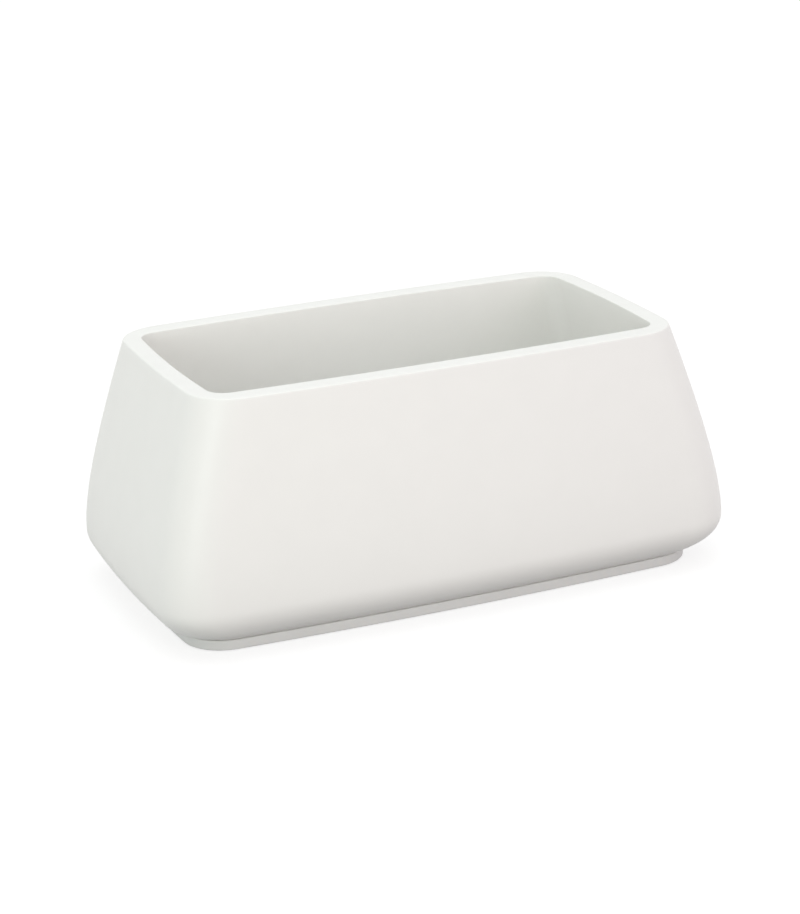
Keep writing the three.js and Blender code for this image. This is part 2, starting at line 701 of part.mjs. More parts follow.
function footPad() {
  return turned([
    [0, 0],
    [PAD_RADIUS - PAD_CHAMFER, 0],
    [PAD_RADIUS, PAD_CHAMFER],
    [PAD_RADIUS, PAD_THICKNESS],
    [0, PAD_THICKNESS],
  ], ROUND_STEPS);
}

const planter = new THREE.Group();

function place(name, geometry, finish, position = new THREE.Vector2()) {
  const mesh = new THREE.Mesh(geometry, finish.clone());
  mesh.name = name;
  mesh.position.set(position.x, position.y, 0);
  planter.add(mesh);
}

function placeRow(name, geometry, finish, places) {
  places.forEach((position, k) => place(`${name}_${k + 1}`, geometry, finish, position));
}

place('planter_body', planterBody(), bodyFinish);
place('base_plinth', basePlinth(), plinthFinish);
for (const [side, position] of Object.entries(drainPlaces)) {
  place(`drain_bushing_${side}`, drainBushing(), bushingFinish, position);
  place(`bushing_gasket_${side}`, bushingGasket(), rubberFinish, position);
  place(`bushing_nut_${side}`, bushingNut(), bushingFinish, position);
  place(`drain_plug_${side}`, drainPlug(), plugFinish, position);
  place(`plug_seal_${side}`, plugSeal(), rubberFinish, position);
}
placeRow('base_screw', baseScrew(), steelFinish, screwPlaces);
placeRow('screw_washer', screwWasher(), steelFinish, screwPlaces);
placeRow('threaded_insert', threadedInsert(), brassFinish, screwPlaces);
placeRow('foot_pad', footPad(), rubberFinish, padPlaces);

export default planter;
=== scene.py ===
"""Looks of the low rectangular garden planter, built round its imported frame.

Sizes are in millimetres until a mesh is made, and metres from then on.
"""

from __future__ import annotations

import json
import logging
import math
from dataclasses import astuple, dataclass, replace
from enum import Enum

import bmesh
import bpy
import numpy as np
from mathutils import Matrix, Vector
from mathutils.geometry import delaunay_2d_cdt

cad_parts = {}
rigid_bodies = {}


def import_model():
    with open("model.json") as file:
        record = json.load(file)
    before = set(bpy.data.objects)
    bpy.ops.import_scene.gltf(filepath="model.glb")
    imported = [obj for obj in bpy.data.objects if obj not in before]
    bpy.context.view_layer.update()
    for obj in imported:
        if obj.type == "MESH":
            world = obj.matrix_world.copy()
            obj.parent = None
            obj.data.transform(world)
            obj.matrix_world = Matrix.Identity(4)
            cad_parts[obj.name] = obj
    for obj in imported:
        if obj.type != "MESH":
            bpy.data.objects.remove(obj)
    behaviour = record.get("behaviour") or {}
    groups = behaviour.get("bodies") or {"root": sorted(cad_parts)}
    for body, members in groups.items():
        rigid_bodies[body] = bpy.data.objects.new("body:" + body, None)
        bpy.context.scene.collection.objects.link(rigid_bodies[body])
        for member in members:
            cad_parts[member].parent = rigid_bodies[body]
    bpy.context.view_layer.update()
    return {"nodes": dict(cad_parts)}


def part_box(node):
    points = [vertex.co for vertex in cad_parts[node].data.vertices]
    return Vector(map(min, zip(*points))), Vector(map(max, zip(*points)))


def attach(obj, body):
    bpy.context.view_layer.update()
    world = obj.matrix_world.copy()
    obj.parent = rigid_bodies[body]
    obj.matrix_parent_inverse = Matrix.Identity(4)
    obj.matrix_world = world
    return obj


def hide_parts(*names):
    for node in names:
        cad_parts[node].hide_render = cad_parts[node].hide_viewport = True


LOG = logging.getLogger("planter")

MM = 0.001
QUARTER = math.pi / 2
TURN = 2 * math.pi
SIDES = 6
CORNERS = ((-1, -1), (1, -1), (1, 1), (-1, 1))

# Points of a closed mesh that lie nearer than MERGE_MM are one point. A skin is sewn to itself
# at SEAM, which is in metres, and SAME_POINT_MM tells the points of a level face apart.
MERGE_MM = 0.02
SEAM = MERGE_MM * MM / 4
SAME_POINT_MM = 1e-5

# The slope of the underside is read between two shares that lie NUDGE to either side, and the
# share at a height is found by halving its range this often.
NUDGE = 1e-4
HALVINGS = 48

# Facets of a turn: of round forms in the body and the plinth, and of the drain's fittings.
ROUND_STEPS = 48
FINE_STEPS = 72

# Faces that meet at less than this are shaded as one surface.
SMOOTH_BELOW = math.radians(32)

Point2 = tuple[float, float]
Point3 = tuple[float, float, float]
Colour = tuple[float, float, float]
Socket = bpy.types.NodeSocket
Mesh = bpy.types.Mesh
Material = bpy.types.Material

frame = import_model()


class Slot(str, Enum):
    """Material slots of the record."""

    BODY = "body_shell"
    PLINTH = "plinth"
    FITTING = "drain_fitting"
    PLUG = "drain_plug"
    SEAL = "seal_rubber"
    FOOT = "foot_rubber"
    STEEL = "fastener_steel"
    BRASS = "insert_brass"


class Side(str, Enum):
    """The ends of the planter that have a drain."""

    LEFT = "left"
    RIGHT = "right"


class Change(str, Enum):
    """What closed meshes do to a base, by the name that the modifier gives it."""

    JOIN = "UNION"
    CUT = "DIFFERENCE"


def shares(steps: int) -> list[float]:
    """Evenly spaced shares from 0 to 1.

    Args:
        steps: how many spaces there are.

    Returns:
        steps + 1 values.
    """
    return [step / steps for step in range(steps + 1)]


def cubic(a: float, b: float, c: float, d: float, share: float) -> float:
    """One coordinate of a cubic curve with ends a and d and handles b and c."""
    rest = 1 - share
    return rest**3 * a + 3 * rest**2 * share * b + 3 * rest * share**2 * c + share**3 * d


def mix(a: float, b: float, share: float) -> float:
    """The value that lies a share of the way from a to b."""
    return a + (b - a) * share


def soft_corner(
    before: Point2, corner: Point2, after: Point2, radius: float, steps: int = 5
) -> list[Point2]:
    """Rounds a corner of a profile.

    Args:
        before: the profile's point before the corner.
        corner: the corner itself.
        after: the profile's point after it.
        radius: how far from the corner the rounding starts and ends.
        steps: number of facets.

    Returns:
        Points of the rounding, in order.
    """
    origin = Vector(corner)
    start = origin + (Vector(before) - origin).normalized() * radius
    end = origin + (Vector(after) - origin).normalized() * radius
    points = []
    for share in shares(steps):
        point = start.lerp(origin, share).lerp(origin.lerp(end, share), share)
        points.append((point.x, point.y))
    return points


def softened(profile: list[Point2], radii: dict[int, float], steps: int = 5) -> list[Point2]:
    """Rounds some corners of a profile.

    Args:
        profile: [radius, height] points.
        radii: corner number to rounding.
        steps: facets of each rounding.

    Returns:
        The profile with those corners rounded.
    """
    points: list[Point2] = []
    for number, point in enumerate(profile):
        if number in radii:
            before, after = profile[number - 1], profile[number + 1]
            points += soft_corner(before, point, after, radii[number], steps)
        else:
            points.append(point)
    return points


def quarter_round(radius: float, steps: int) -> list[Point2]:
    """How far the points of a quarter round lie from the two sides that it joins.

    Args:
        radius: its radius.
        steps: number of facets.

    Returns:
        Pairs that run from [radius, 0] to [0, radius].
    """
    angles = [share * QUARTER for share in shares(steps)]
    return [(radius * (1 - math.sin(angle)), radius * (1 - math.cos(angle))) for angle in angles]


def on_arc(centre: Point2, radius: float, start: float, end: float, steps: int) -> list[Point2]:
    """Points along an arc.

    Args:
        centre: its middle.
        radius: its radius.
        start: the angle at its first point.
        end: the angle at its last point.
        steps: number of facets.

    Returns:
        steps + 1 points.
    """
    x, y = centre
    angles = [mix(start, end, share) for share in shares(steps)]
    return [(x + radius * math.cos(angle), y + radius * math.sin(angle)) for angle in angles]


def circle(centre: Point2, radius: float, steps: int = ROUND_STEPS) -> list[Point2]:
    """Points round a circle, counter-clockwise from +X, where a turned mesh has its own."""
    return on_arc(centre, radius, 0, TURN, steps)[:-1]


def rod(radius: float, low: float, high: float) -> list[Point2]:
    """The section of an upright rod."""
    return [(0, low), (radius, low), (radius, high), (0, high)]


def ring(
    hole: float, radius: float, thickness: float, low: float, rounding: float, steps: int
) -> list[Point2]:
    """The section of a flat ring with rounded outer edges.

    Args:
        hole: its inner radius.
        radius: its outer radius.
        thickness: its thickness.
        low: how high its underside is.
        rounding: how far from the edges their rounding starts.
        steps: facets of the rounding.

    Returns:
        The closed profile.
    """
    high = low + thickness
    section = [(hole, low), (radius, low), (radius, high), (hole, high), (hole, low)]
    return softened(section, {1: rounding, 2: rounding}, steps)


@dataclass(frozen=True)
class Steps:
    """Facets of a quarter of a plan outline."""

    end: int = 8
    corner: int = 22
    side: int = 12

    @property
    def quarter(self) -> int:
        """Facets of a whole quarter."""
        return self.end + self.corner + self.side


@dataclass(frozen=True)
class Arcs:
    """The three arcs that make a quarter of a plan outline."""

    end: tuple[float, float, float]
    corner: tuple[float, float, float]
    side: tuple[float, float, float]
    end_angle: float
    side_angle: float


@dataclass(frozen=True)
class Plan:
    """A level outline: a rectangle with bowed sides and round corners."""

    half_length: float
    half_width: float
    end_bow: float
    side_bow: float
    corner_radius: float

    def grown(self, distance: float) -> Plan:
        """The same plan, larger by a distance all round.

        Args:
            distance: how far each side moves out.

        Returns:
            The larger plan.
        """
        return replace(
            self,
            half_length=self.half_length + distance,
            half_width=self.half_width + distance,
            corner_radius=self.corner_radius + distance,
        )

    def blended(self, other: Plan, share: float) -> Plan:
        """The plan that lies a share of the way to another one.

        Args:
            other: the plan at share 1.
            share: how far to go towards it.

        Returns:
            The plan between.
        """
        return Plan(*(mix(a, b, share) for a, b in zip(astuple(self), astuple(other))))

    def arcs(self) -> Arcs:
        """Finds the end arc, the corner arc that is tangent to its neighbours, and the side arc.

        Returns:
            Each arc's centre and radius, and the angles at which they meet.
        """
        side_radius = (self.half_length**2 + self.side_bow**2) / (2 * self.side_bow)
        end_radius = (self.half_width**2 + self.end_bow**2) / (2 * self.end_bow)
        side_centre = Vector((0, self.half_width - side_radius))
        end_centre = Vector((self.half_length - end_radius, 0))
        reach_end = end_radius - self.corner_radius
        reach_side = side_radius - self.corner_radius
        between = side_centre - end_centre
        distance = between.length
        along = (reach_end**2 - reach_side**2 + distance**2) / (2 * distance)
        across = math.sqrt(reach_end**2 - along**2)
        direction = between.normalized()
        centre = end_centre + direction * along + Vector((-direction.y, direction.x)) * across
        to_end, to_side = centre - end_centre, centre - side_centre
        return Arcs(
            end=(end_centre.x, 0, end_radius),
            corner=(centre.x, centre.y, self.corner_radius),
            side=(0, side_centre.y, side_radius),
            end_angle=math.atan2(to_end.y, to_end.x),
            side_angle=math.atan2(to_side.y, to_side.x),
        )

    def outline(self, steps: Steps) -> list[Point2]:
        """Points of the outline, counter-clockwise from the middle of the +X end.

        Args:
            steps: facets of a quarter.

        Returns:
            The closed outline's points.
        """
        arcs = self.arcs()
        quarter: list[Point2] = []
        for (x, y, radius), low, high, count in (
            (arcs.end, 0, arcs.end_angle, steps.end),
            (arcs.corner, arcs.end_angle, arcs.side_angle, steps.corner),
            (arcs.side, arcs.side_angle, QUARTER, steps.side),
        ):
            quarter += on_arc((x, y), radius, low, high, count)[:-1]
        quarter.append((0.0, self.half_width))
        mirrored = [(-x, y) for x, y in reversed(quarter[:-1])]
        half = quarter + mirrored
        return half[:-1] + [(-x, -y) for x, y in half[:-1]]


@dataclass(frozen=True)
class Station:
    """A plan at a height."""

    plan: Plan
    height: float


class Wiring:
    """Adds nodes to a node tree and wires their sockets."""

    def __init__(self, tree: bpy.types.NodeTree) -> None:
        """Takes the tree that the nodes go into."""
        self.tree = tree

    def feed(self, socket: Socket, value: object) -> None:
        """Links a socket into another one, or sets its value.

        Args:
            socket: the input.
            value: an output socket to link, or a plain value.
        """
        if isinstance(value, Socket):
            self.tree.links.new(value, socket)
        else:
            socket.default_value = value

    def add(
        self, kind: str, values: dict[str | int, object] | None = None, **settings: object
    ) -> bpy.types.Node:
        """Adds one node.

        Args:
            kind: Blender's name of the node type.
            values: input name or number to a socket or value.
            settings: properties of the node, set before its inputs.

        Returns:
            The node.
        """
        node = self.tree.nodes.new(kind)
        for name, value in settings.items():
            setattr(node, name, value)
        for name, value in (values or {}).items():
            self.feed(node.inputs[name], value)
        return node

    def math(self, operation: str, *values: object) -> Socket:
        """Adds a Math node.

        Args:
            operation: what it does.
            values: its inputs in order.

        Returns:
            Its result.
        """
        node = self.add("ShaderNodeMath", operation=operation)
        for socket, value in zip(node.inputs, values):
            self.feed(socket, value)
        return node.outputs[0]

    def split(self, vector: Socket) -> tuple[Socket, Socket, Socket]:
        """The x, y and z of a vector."""
        node = self.add("ShaderNodeSeparateXYZ", {0: vector})
        return node.outputs[0], node.outputs[1], node.outputs[2]

    def vector(self, x: object, y: object, z: object) -> Socket:
        """A vector from its x, y and z."""
        return self.add("ShaderNodeCombineXYZ", {0: x, 1: y, 2: z}).outputs[0]

    def ranged(self, value: Socket, span: Point2, result: Point2 = (0.0, 1.0)) -> Socket:
        """Spreads a span of values over a range, and holds what lies past it."""
        ends = {"From Min": span[0], "From Max": span[1], "To Min": result[0], "To Max": result[1]}
        return self.add("ShaderNodeMapRange", {"Value": value, **ends}, clamp=True).outputs[0]

    def by_ray(self, unseen: Socket, seen: Socket) -> Socket:
        """Chooses between two shaders by the ray that asks.

        Args:
            unseen: the shader that lights the object.
            seen: the shader for rays from the camera, straight or by way of gloss or glass.

        Returns:
            The shader chosen.
        """
        rays = self.add("ShaderNodeLightPath").outputs
        share = self.math("MAXIMUM", rays["Is Camera Ray"], rays["Is Glossy Ray"])
        share = self.math("MAXIMUM", share, rays["Is Transmission Ray"])
        return self.add("ShaderNodeMixShader", {0: share, 1: unseen, 2: seen}).outputs[0]

    def choose(self, index: Socket, options: list[object]) -> Socket:
        """Picks one of several numbers by its place in a list.

        Args:
            index: which one.
            options: sockets or values.

        Returns:
            The one picked.
        """
        node = self.add("GeometryNodeIndexSwitch", data_type="FLOAT")
        while len(node.index_switch_items) < len(options):
            node.index_switch_items.new()
        self.feed(node.inputs["Index"], index)
        for number, option in enumerate(options):
            self.feed(node.inputs[str(number)], option)
        return node.outputs[0]


def cleared(holder: bpy.types.ID) -> Wiring:
    """Empties the node tree of a material or world.

    Args:
        holder: the material or world.

    Returns:
        What wires its tree.
    """
    holder.use_nodes = True
    holder.node_tree.nodes.clear()
    return Wiring(holder.node_tree)


def stand(name: str, data: bpy.types.ID) -> bpy.types.Object:
    """Puts a new object in the scene.

    Args:
        name: its name.
        data: its mesh, light or camera.

    Returns:
        The object.
    """
    thing = bpy.data.objects.new(name, data)
    bpy.context.scene.collection.objects.link(thing)
    return thing


def as_mesh(work: bmesh.types.BMesh, name: str) -> Mesh:
    """Keeps the faces that were worked on as a mesh.

    Args:
        work: the faces, which are freed.
        name: the mesh's name.

    Returns:
        The mesh.
    """
    mesh = bpy.data.meshes.new(name)
    work.to_mesh(mesh)
    work.free()
    return mesh


def walled(
    work: bmesh.types.BMesh, low: list[bmesh.types.BMVert], high: list[bmesh.types.BMVert]
) -> None:
    """Adds the faces between two closed loops of as many points.

    Args:
        work: what the faces go into.
        low: the first loop.
        high: the second loop.
    """
    for k in range(len(low)):
        n = (k + 1) % len(low)
        work.faces.new([low[k], low[n], high[n], high[k]])


class GeometryTree:
    """A Geometry Nodes tree with named inputs, and the call that runs it."""

    name: str = "tree"
    inputs: dict[str, str] = {}

    def __init__(self) -> None:
        """Makes the tree's sockets and has it built."""
        self.tree = bpy.data.node_groups.new(self.name, "GeometryNodeTree")
        for name, kind in self.inputs.items():
            self.tree.interface.new_socket(name=name, in_out="INPUT", socket_type=kind)
        kind = "NodeSocketGeometry"
        self.tree.interface.new_socket(name="Mesh", in_out="OUTPUT", socket_type=kind)
        self.wiring = Wiring(self.tree)
        self.given = self.wiring.add("NodeGroupInput").outputs
        self.build()

    def build(self) -> None:
        """Adds the tree's nodes."""
        raise NotImplementedError

    def close(self, mesh: Socket) -> None:
        """Ends the tree in Realize Instances and Set Material.

        Args:
            mesh: the finished geometry.
        """
        whole = self.wiring.add("GeometryNodeRealizeInstances", {0: mesh}).outputs[0]
        values = {"Geometry": whole, "Material": self.given["Material"]}
        dressed = self.wiring.add("GeometryNodeSetMaterial", values)
        self.wiring.add("NodeGroupOutput", {0: dressed.outputs[0]})

    def read(self, geometry: Socket, name: str, index: Socket) -> tuple[Socket, Socket, Socket]:
        """Reads a named vector at one point of a geometry.

        Args:
            geometry: where to read.
            name: the attribute's name.
            index: the point's number.

        Returns:
            The vector's x, y and z.
        """
        kind = {"data_type": "FLOAT_VECTOR"}
        field = self.wiring.add("GeometryNodeInputNamedAttribute", {"Name": name}, **kind)
        values = {"Geometry": geometry, "Value": field.outputs[0], "Index": index}
        node = self.wiring.add("GeometryNodeSampleIndex", values, domain="POINT", **kind)
        return self.wiring.split(node.outputs[0])

    def grid(self, around: Socket, points: Socket) -> tuple[Socket, Socket, Socket]:
        """Makes the sheet that is bent into shape, with a ring for each point of a geometry.

        Args:
            around: facets round the shape.
            points: the geometry.

        Returns:
            The sheet, each point's number round the shape, and its ring's number.
        """
        w = self.wiring
        size = w.add("GeometryNodeAttributeDomainSize", {0: points}, component="MESH")
        rows = size.outputs["Point Count"]
        last_row = w.math("SUBTRACT", rows, 1)
        extent = {"Size X": around, "Size Y": last_row}
        count = {"Vertices X": w.math("ADD", around, 1), "Vertices Y": rows}
        sheet = w.add("GeometryNodeMeshGrid", {**extent, **count})
        x, y, _ = w.split(w.add("GeometryNodeInputPosition").outputs[0])
        place = w.math("ROUND", w.math("ADD", x, w.math("DIVIDE", around, 2)))
        row = w.math("ROUND", w.math("ADD", y, w.math("DIVIDE", last_row, 2)))
        return sheet.outputs["Mesh"], place, row

    def bent(self, sheet: Socket, x: Socket, y: Socket, z: Socket) -> Socket:
        """The sheet with each of its points moved to a place."""
        values = {"Geometry": sheet, "Position": self.wiring.vector(x, y, z)}
        return self.wiring.add("GeometryNodeSetPosition", values).outputs[0]

    def sewn(self, sheet: Socket) -> Socket:
        """The sheet with its points joined where they meet."""
        values = {"Geometry": sheet, "Distance": SEAM}
        return self.wiring.add("GeometryNodeMergeByDistance", values).outputs[0]

    @staticmethod
    def points(vectors: dict[str, list[list[float]]]) -> Mesh:
        """Makes loose points that carry named vectors for a tree to read.

        Args:
            vectors: attribute name to one vector for each point.

        Returns:
            The mesh.
        """
        mesh = bpy.data.meshes.new("points")
        count = len(next(iter(vectors.values())))
        mesh.from_pydata([(0, 0, number) for number in range(count)], [], [])
        for name, rows in vectors.items():
            attribute = mesh.attributes.new(name, "FLOAT_VECTOR", "POINT")
            attribute.data.foreach_set("vector", np.array(rows, np.float32).ravel())
        return mesh

    def run(self, points: Mesh, values: dict[str, object]) -> Mesh:
        """Runs the tree on a mesh and keeps the result as a plain mesh.

        Args:
            points: the mesh that the tree's first input reads. It is removed.
            values: input name to value.

        Returns:
            The plain mesh.
        """
        carrier = stand(f"{self.name}_carrier", points)
        modifier = carrier.modifiers.new(self.name, "NODES")
        modifier.node_group = self.tree
        for item in self.tree.interface.items_tree:
            if item.in_out == "INPUT" and item.name in values:
                modifier[item.identifier] = values[item.name]
        evaluated = carrier.evaluated_get(bpy.context.evaluated_depsgraph_get())
        result = bpy.data.meshes.new_from_object(evaluated)
        bpy.data.objects.remove(carrier)
        bpy.data.meshes.remove(points)
        return result


class BowedLoft(GeometryTree):
    """Skins a row of plan outlines. Each point of the carrier is a station."""

    name = "bowed_loft"
    inputs = {
        "Stations": "NodeSocketGeometry",
        "End Steps": "NodeSocketInt",
        "Corner Steps": "NodeSocketInt",
        "Side Steps": "NodeSocketInt",
        "Material": "NodeSocketMaterial",
    }

    def build(self) -> None:
        """Folds each place round the outline into a quarter, and puts it on that quarter's arc."""
        w, given = self.wiring, self.given
        end, corner, side = given["End Steps"], given["Corner Steps"], given["Side Steps"]
        to_side = w.math("ADD", end, corner)
        quarter = w.math("ADD", to_side, side)
        around = w.math("MULTIPLY", quarter, 4)
        stations = given["Stations"]
        sheet, place, row = self.grid(around, stations)

        folded = w.math("PINGPONG", place, quarter)
        past_end = w.math("GREATER_THAN", folded, w.math("SUBTRACT", end, 0.5))
        past_corner = w.math("GREATER_THAN", folded, w.math("SUBTRACT", to_side, 0.5))
        arc = w.math("ADD", past_end, past_corner)

        end_x, end_y, end_radius = self.read(stations, "end_arc", row)
        corner_x, corner_y, corner_radius = self.read(stations, "corner_arc", row)
        side_x, side_y, side_radius = self.read(stations, "side_arc", row)
        end_angle, side_angle, height = self.read(stations, "turns", row)

        low = w.choose(arc, [0.0, end_angle, side_angle])
        high = w.choose(arc, [end_angle, side_angle, QUARTER])
        first = w.choose(arc, [0.0, end, to_side])
        count = w.choose(arc, [end, corner, side])
        share = w.math("DIVIDE", w.math("SUBTRACT", folded, first), count)
        angle = w.math("MULTIPLY_ADD", w.math("SUBTRACT", high, low), share, low)
        radius = w.choose(arc, [end_radius, corner_radius, side_radius])
        centre_x = w.choose(arc, [end_x, corner_x, side_x])
        centre_y = w.choose(arc, [end_y, corner_y, side_y])
        x = w.math("MULTIPLY_ADD", w.math("COSINE", angle), radius, centre_x)
        y = w.math("MULTIPLY_ADD", w.math("SINE", angle), radius, centre_y)

        halfway = w.math("MULTIPLY", quarter, 2)
        from_top = w.math("ABSOLUTE", w.math("SUBTRACT", place, halfway))
        sign_x = w.math("SIGN", w.math("SUBTRACT", from_top, quarter))
        sign_y = w.math("SIGN", w.math("SUBTRACT", halfway, place))
        x, y = w.math("MULTIPLY", x, sign_x), w.math("MULTIPLY", y, sign_y)
        self.close(self.sewn(self.bent(sheet, x, y, height)))

    def skin(
        self, stations: list[Station], steps: Steps, material: Material
    ) -> Mesh:
        """Skins stations.

        Args:
            stations: plans at heights, in millimetres and in order.
            steps: facets of a quarter outline.
            material: what the faces are given.

        Returns:
            An open mesh, in metres.
        """
        arcs = [station.plan.arcs() for station in stations]
        vectors = {
            "end_arc": [[v * MM for v in arc.end] for arc in arcs],
            "corner_arc": [[v * MM for v in arc.corner] for arc in arcs],
            "side_arc": [[v * MM for v in arc.side] for arc in arcs],
            "turns": [[a.end_angle, a.side_angle, s.height * MM] for a, s in zip(arcs, stations)],
        }
        facets = {"End Steps": steps.end, "Corner Steps": steps.corner, "Side Steps": steps.side}
        return self.run(self.points(vectors), {**facets, "Material": material})


class TurnedRow(GeometryTree):
    """Turns a profile about +Z at places. A point of it may be held inside a hexagon."""

    name = "turned_row"
    inputs = {
        "Profile": "NodeSocketGeometry",
        "Places": "NodeSocketObject",
        "Steps": "NodeSocketInt",
        "Material": "NodeSocketMaterial",
    }

    def build(self) -> None:
        """Bends a sheet round the axis, holds its radius to the flats, and repeats it."""
        w, given = self.wiring, self.given
        profile = given["Profile"]
        sheet, place, row = self.grid(given["Steps"], profile)
        angle = w.math("MULTIPLY", w.math("DIVIDE", place, given["Steps"]), TURN)
        radius, height, flats = self.read(profile, "turning", row)
        across_side = w.math("FLOORED_MODULO", angle, TURN / SIDES)
        from_flat = w.math("SUBTRACT", across_side, TURN / SIDES / 2)
        to_flat = w.math("DIVIDE", w.math("MULTIPLY", flats, 0.5), w.math("COSINE", from_flat))
        is_round = w.math("LESS_THAN", flats, MERGE_MM * MM)
        held = w.math("MINIMUM", radius, w.math("ADD", to_flat, is_round))
        x = w.math("MULTIPLY", held, w.math("COSINE", angle))
        y = w.math("MULTIPLY", held, w.math("SINE", angle))
        values = {"Geometry": self.bent(sheet, x, y, height), "Name": "turned"}
        marked = w.add(
            "GeometryNodeStoreNamedAttribute",
            {**values, "Value": w.vector(held, height, 0.0)},
            data_type="FLOAT_VECTOR",
            domain="POINT",
        )
        places = w.add("GeometryNodeObjectInfo", {"Object": given["Places"]}).outputs["Geometry"]
        values = {"Points": places, "Instance": self.sewn(marked.outputs[0])}
        self.close(w.add("GeometryNodeInstanceOnPoints", values).outputs[0])

    def turn(
        self,
        profile: list[Point2],
        places: list[Point2],
        material: Material,
        steps: int = ROUND_STEPS,
        flats: dict[int, float] | None = None,
    ) -> Mesh:
        """Turns a profile at each place.

        Args:
            profile: [radius, height] points in millimetres.
            places: where the axes stand, in millimetres.
            material: what the faces are given.
            steps: facets of a turn.
            flats: profile point number to the width across flats that holds it.

        Returns:
            One mesh of all the repeats, in metres.
        """
        held = flats or {}
        rows = [[r * MM, z * MM, held.get(k, 0) * MM] for k, (r, z) in enumerate(profile)]
        spots = bpy.data.meshes.new("places")
        spots.from_pydata([(x * MM, y * MM, 0) for x, y in places], [], [])
        holder = stand("places", spots)
        values = {"Places": holder, "Steps": steps, "Material": material}
        result = self.run(self.points({"turning": rows}), values)
        bpy.data.objects.remove(holder)
        bpy.data.meshes.remove(spots)
        return result


def inside(points: np.ndarray, loop: list[Point2]) -> np.ndarray:
    """Says which points a closed loop holds.

    Args:
        points: an array of points.
        loop: the loop's corners.

    Returns:
        True for each point inside.
    """
    start = np.array(loop)
    end = np.roll(start, -1, axis=0)
    x, y = points[:, :1], points[:, 1:]
    spans = (start[:, 1] > y) != (end[:, 1] > y)
    rise = np.where(end[:, 1] == start[:, 1], 1, end[:, 1] - start[:, 1])
    crossing = start[:, 0] + (y - start[:, 1]) * (end[:, 0] - start[:, 0]) / rise
    return (spans & (x < crossing)).sum(axis=1) % 2 == 1


class ClosedMesh:
    """Gathers open meshes and level faces into one closed mesh."""

    def __init__(self) -> None:
        """Starts empty."""
        self.work = bmesh.new()

    def take(self, *meshes: Mesh) -> None:
        """Moves meshes in.

        Args:
            meshes: the meshes, which are removed.
        """
        for mesh in meshes:
            self.work.from_mesh(mesh)
            bpy.data.meshes.remove(mesh)

    def level(self, height: float, outline: list[Point2], holes: list[list[Point2]]) -> None:
        """Fills an outline with a level face that leaves holes open.

        Args:
            height: the face's height in millimetres.
            outline: its outer edge.
            holes: the edges of its holes.
        """
        points: list[Vector] = []
        edges: list[tuple[int, int]] = []
        for loop in [outline, *holes]:
            first = len(points)
            points += [Vector(point) for point in loop]
            edges += [(first + k, first + (k + 1) % len(loop)) for k in range(len(loop))]
        corners, _, triangles, *_ = delaunay_2d_cdt(points, edges, [], 1, SAME_POINT_MM)
        flat = np.array([corner[:] for corner in corners])
        centres = flat[np.array(triangles)].mean(axis=1)
        solid = np.ones(len(triangles), bool)
        for hole in holes:
            solid &= ~inside(centres, hole)
        verts = [self.work.verts.new((x * MM, y * MM, height * MM)) for x, y in flat]
        for triangle, filled in zip(triangles, solid):
            if filled:
                self.work.faces.new([verts[number] for number in triangle])
        self.work.verts.ensure_lookup_table()

    def finish(self, name: str, material: Material) -> Mesh:
        """Joins what touches, turns the faces outwards and reports any open edge.

        Args:
            name: the mesh's name.
            material: its one material.

        Returns:
            The mesh.
        """
        work = self.work
        bmesh.ops.remove_doubles(work, verts=work.verts, dist=MERGE_MM * MM)
        loose = [vert for vert in work.verts if not vert.link_faces]
        bmesh.ops.delete(work, geom=loose, context="VERTS")
        bmesh.ops.recalc_face_normals(work, faces=work.faces)
        open_edges = sum(not edge.is_manifold for edge in work.edges)
        if open_edges:
            LOG.warning("%s has %d open edges", name, open_edges)
        for face in work.faces:
            face.material_index = 0
        mesh = as_mesh(work, name)
        mesh.materials.clear()
        mesh.materials.append(material)
        mesh.shade_smooth()
        mesh.set_sharp_from_angle(angle=SMOOTH_BELOW)
        return mesh


def closed(name: str, material: Material, *meshes: Mesh) -> Mesh:
    """Joins meshes into one closed mesh.

    Args:
        name: the result's name.
        material: its material.
        meshes: what is joined.

    Returns:
        The closed mesh.
    """
    whole = ClosedMesh()
    whole.take(*meshes)
    return whole.finish(name, material)


def cut_or_joined(
    base: Mesh, change: Change, operands: list[Mesh], material: Material
) -> Mesh:
    """Joins closed meshes to a base, or cuts them out of it.

    Args:
        base: the mesh that is changed.
        change: what the others do to it.
        operands: the other meshes, which are removed.
        material: the result's material.

    Returns:
        The new closed mesh.
    """
    group = bpy.data.collections.new("operands")
    bpy.context.scene.collection.children.link(group)
    for mesh in operands:
        group.objects.link(bpy.data.objects.new("operand", mesh))
    carrier = stand("carrier", base)
    modifier = carrier.modifiers.new("solid", "BOOLEAN")
    modifier.operation = change.value
    modifier.solver = "EXACT"
    modifier.operand_type = "COLLECTION"
    modifier.collection = group
    evaluated = carrier.evaluated_get(bpy.context.evaluated_depsgraph_get())
    result = bpy.data.meshes.new_from_object(evaluated)
    name = base.name
    for part in [*group.objects, carrier]:
        bpy.data.objects.remove(part)
    bpy.data.collections.remove(group)
    for mesh in [*operands, base]:
        bpy.data.meshes.remove(mesh)
    return closed(name, material, result)


def put(name: str, mesh: Mesh, body: str, nodes: list[str]) -> None:
    """Puts a finished piece in the scene in place of its CAD nodes.

    Args:
        name: the piece's name.
        mesh: its mesh, in metres and in place.
        body: the CAD body that carries it.
        nodes: the CAD nodes that it stands for.
    """
    piece = stand(name, mesh)
    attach(piece, body)
    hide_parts(*nodes)
    LOG.info("%s: %d faces on %s, for %d nodes", name, len(mesh.polygons), body, len(nodes))


def middle(node: str) -> Point2:
    """Where the middle of a CAD node stands, in millimetres."""
    low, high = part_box(node)
    return (low.x + high.x) / 2 / MM, (low.y + high.y) / 2 / MM


def bottom(node: str) -> float:
    """How high the underside of a CAD node is, in millimetres."""
    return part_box(node)[0].z / MM


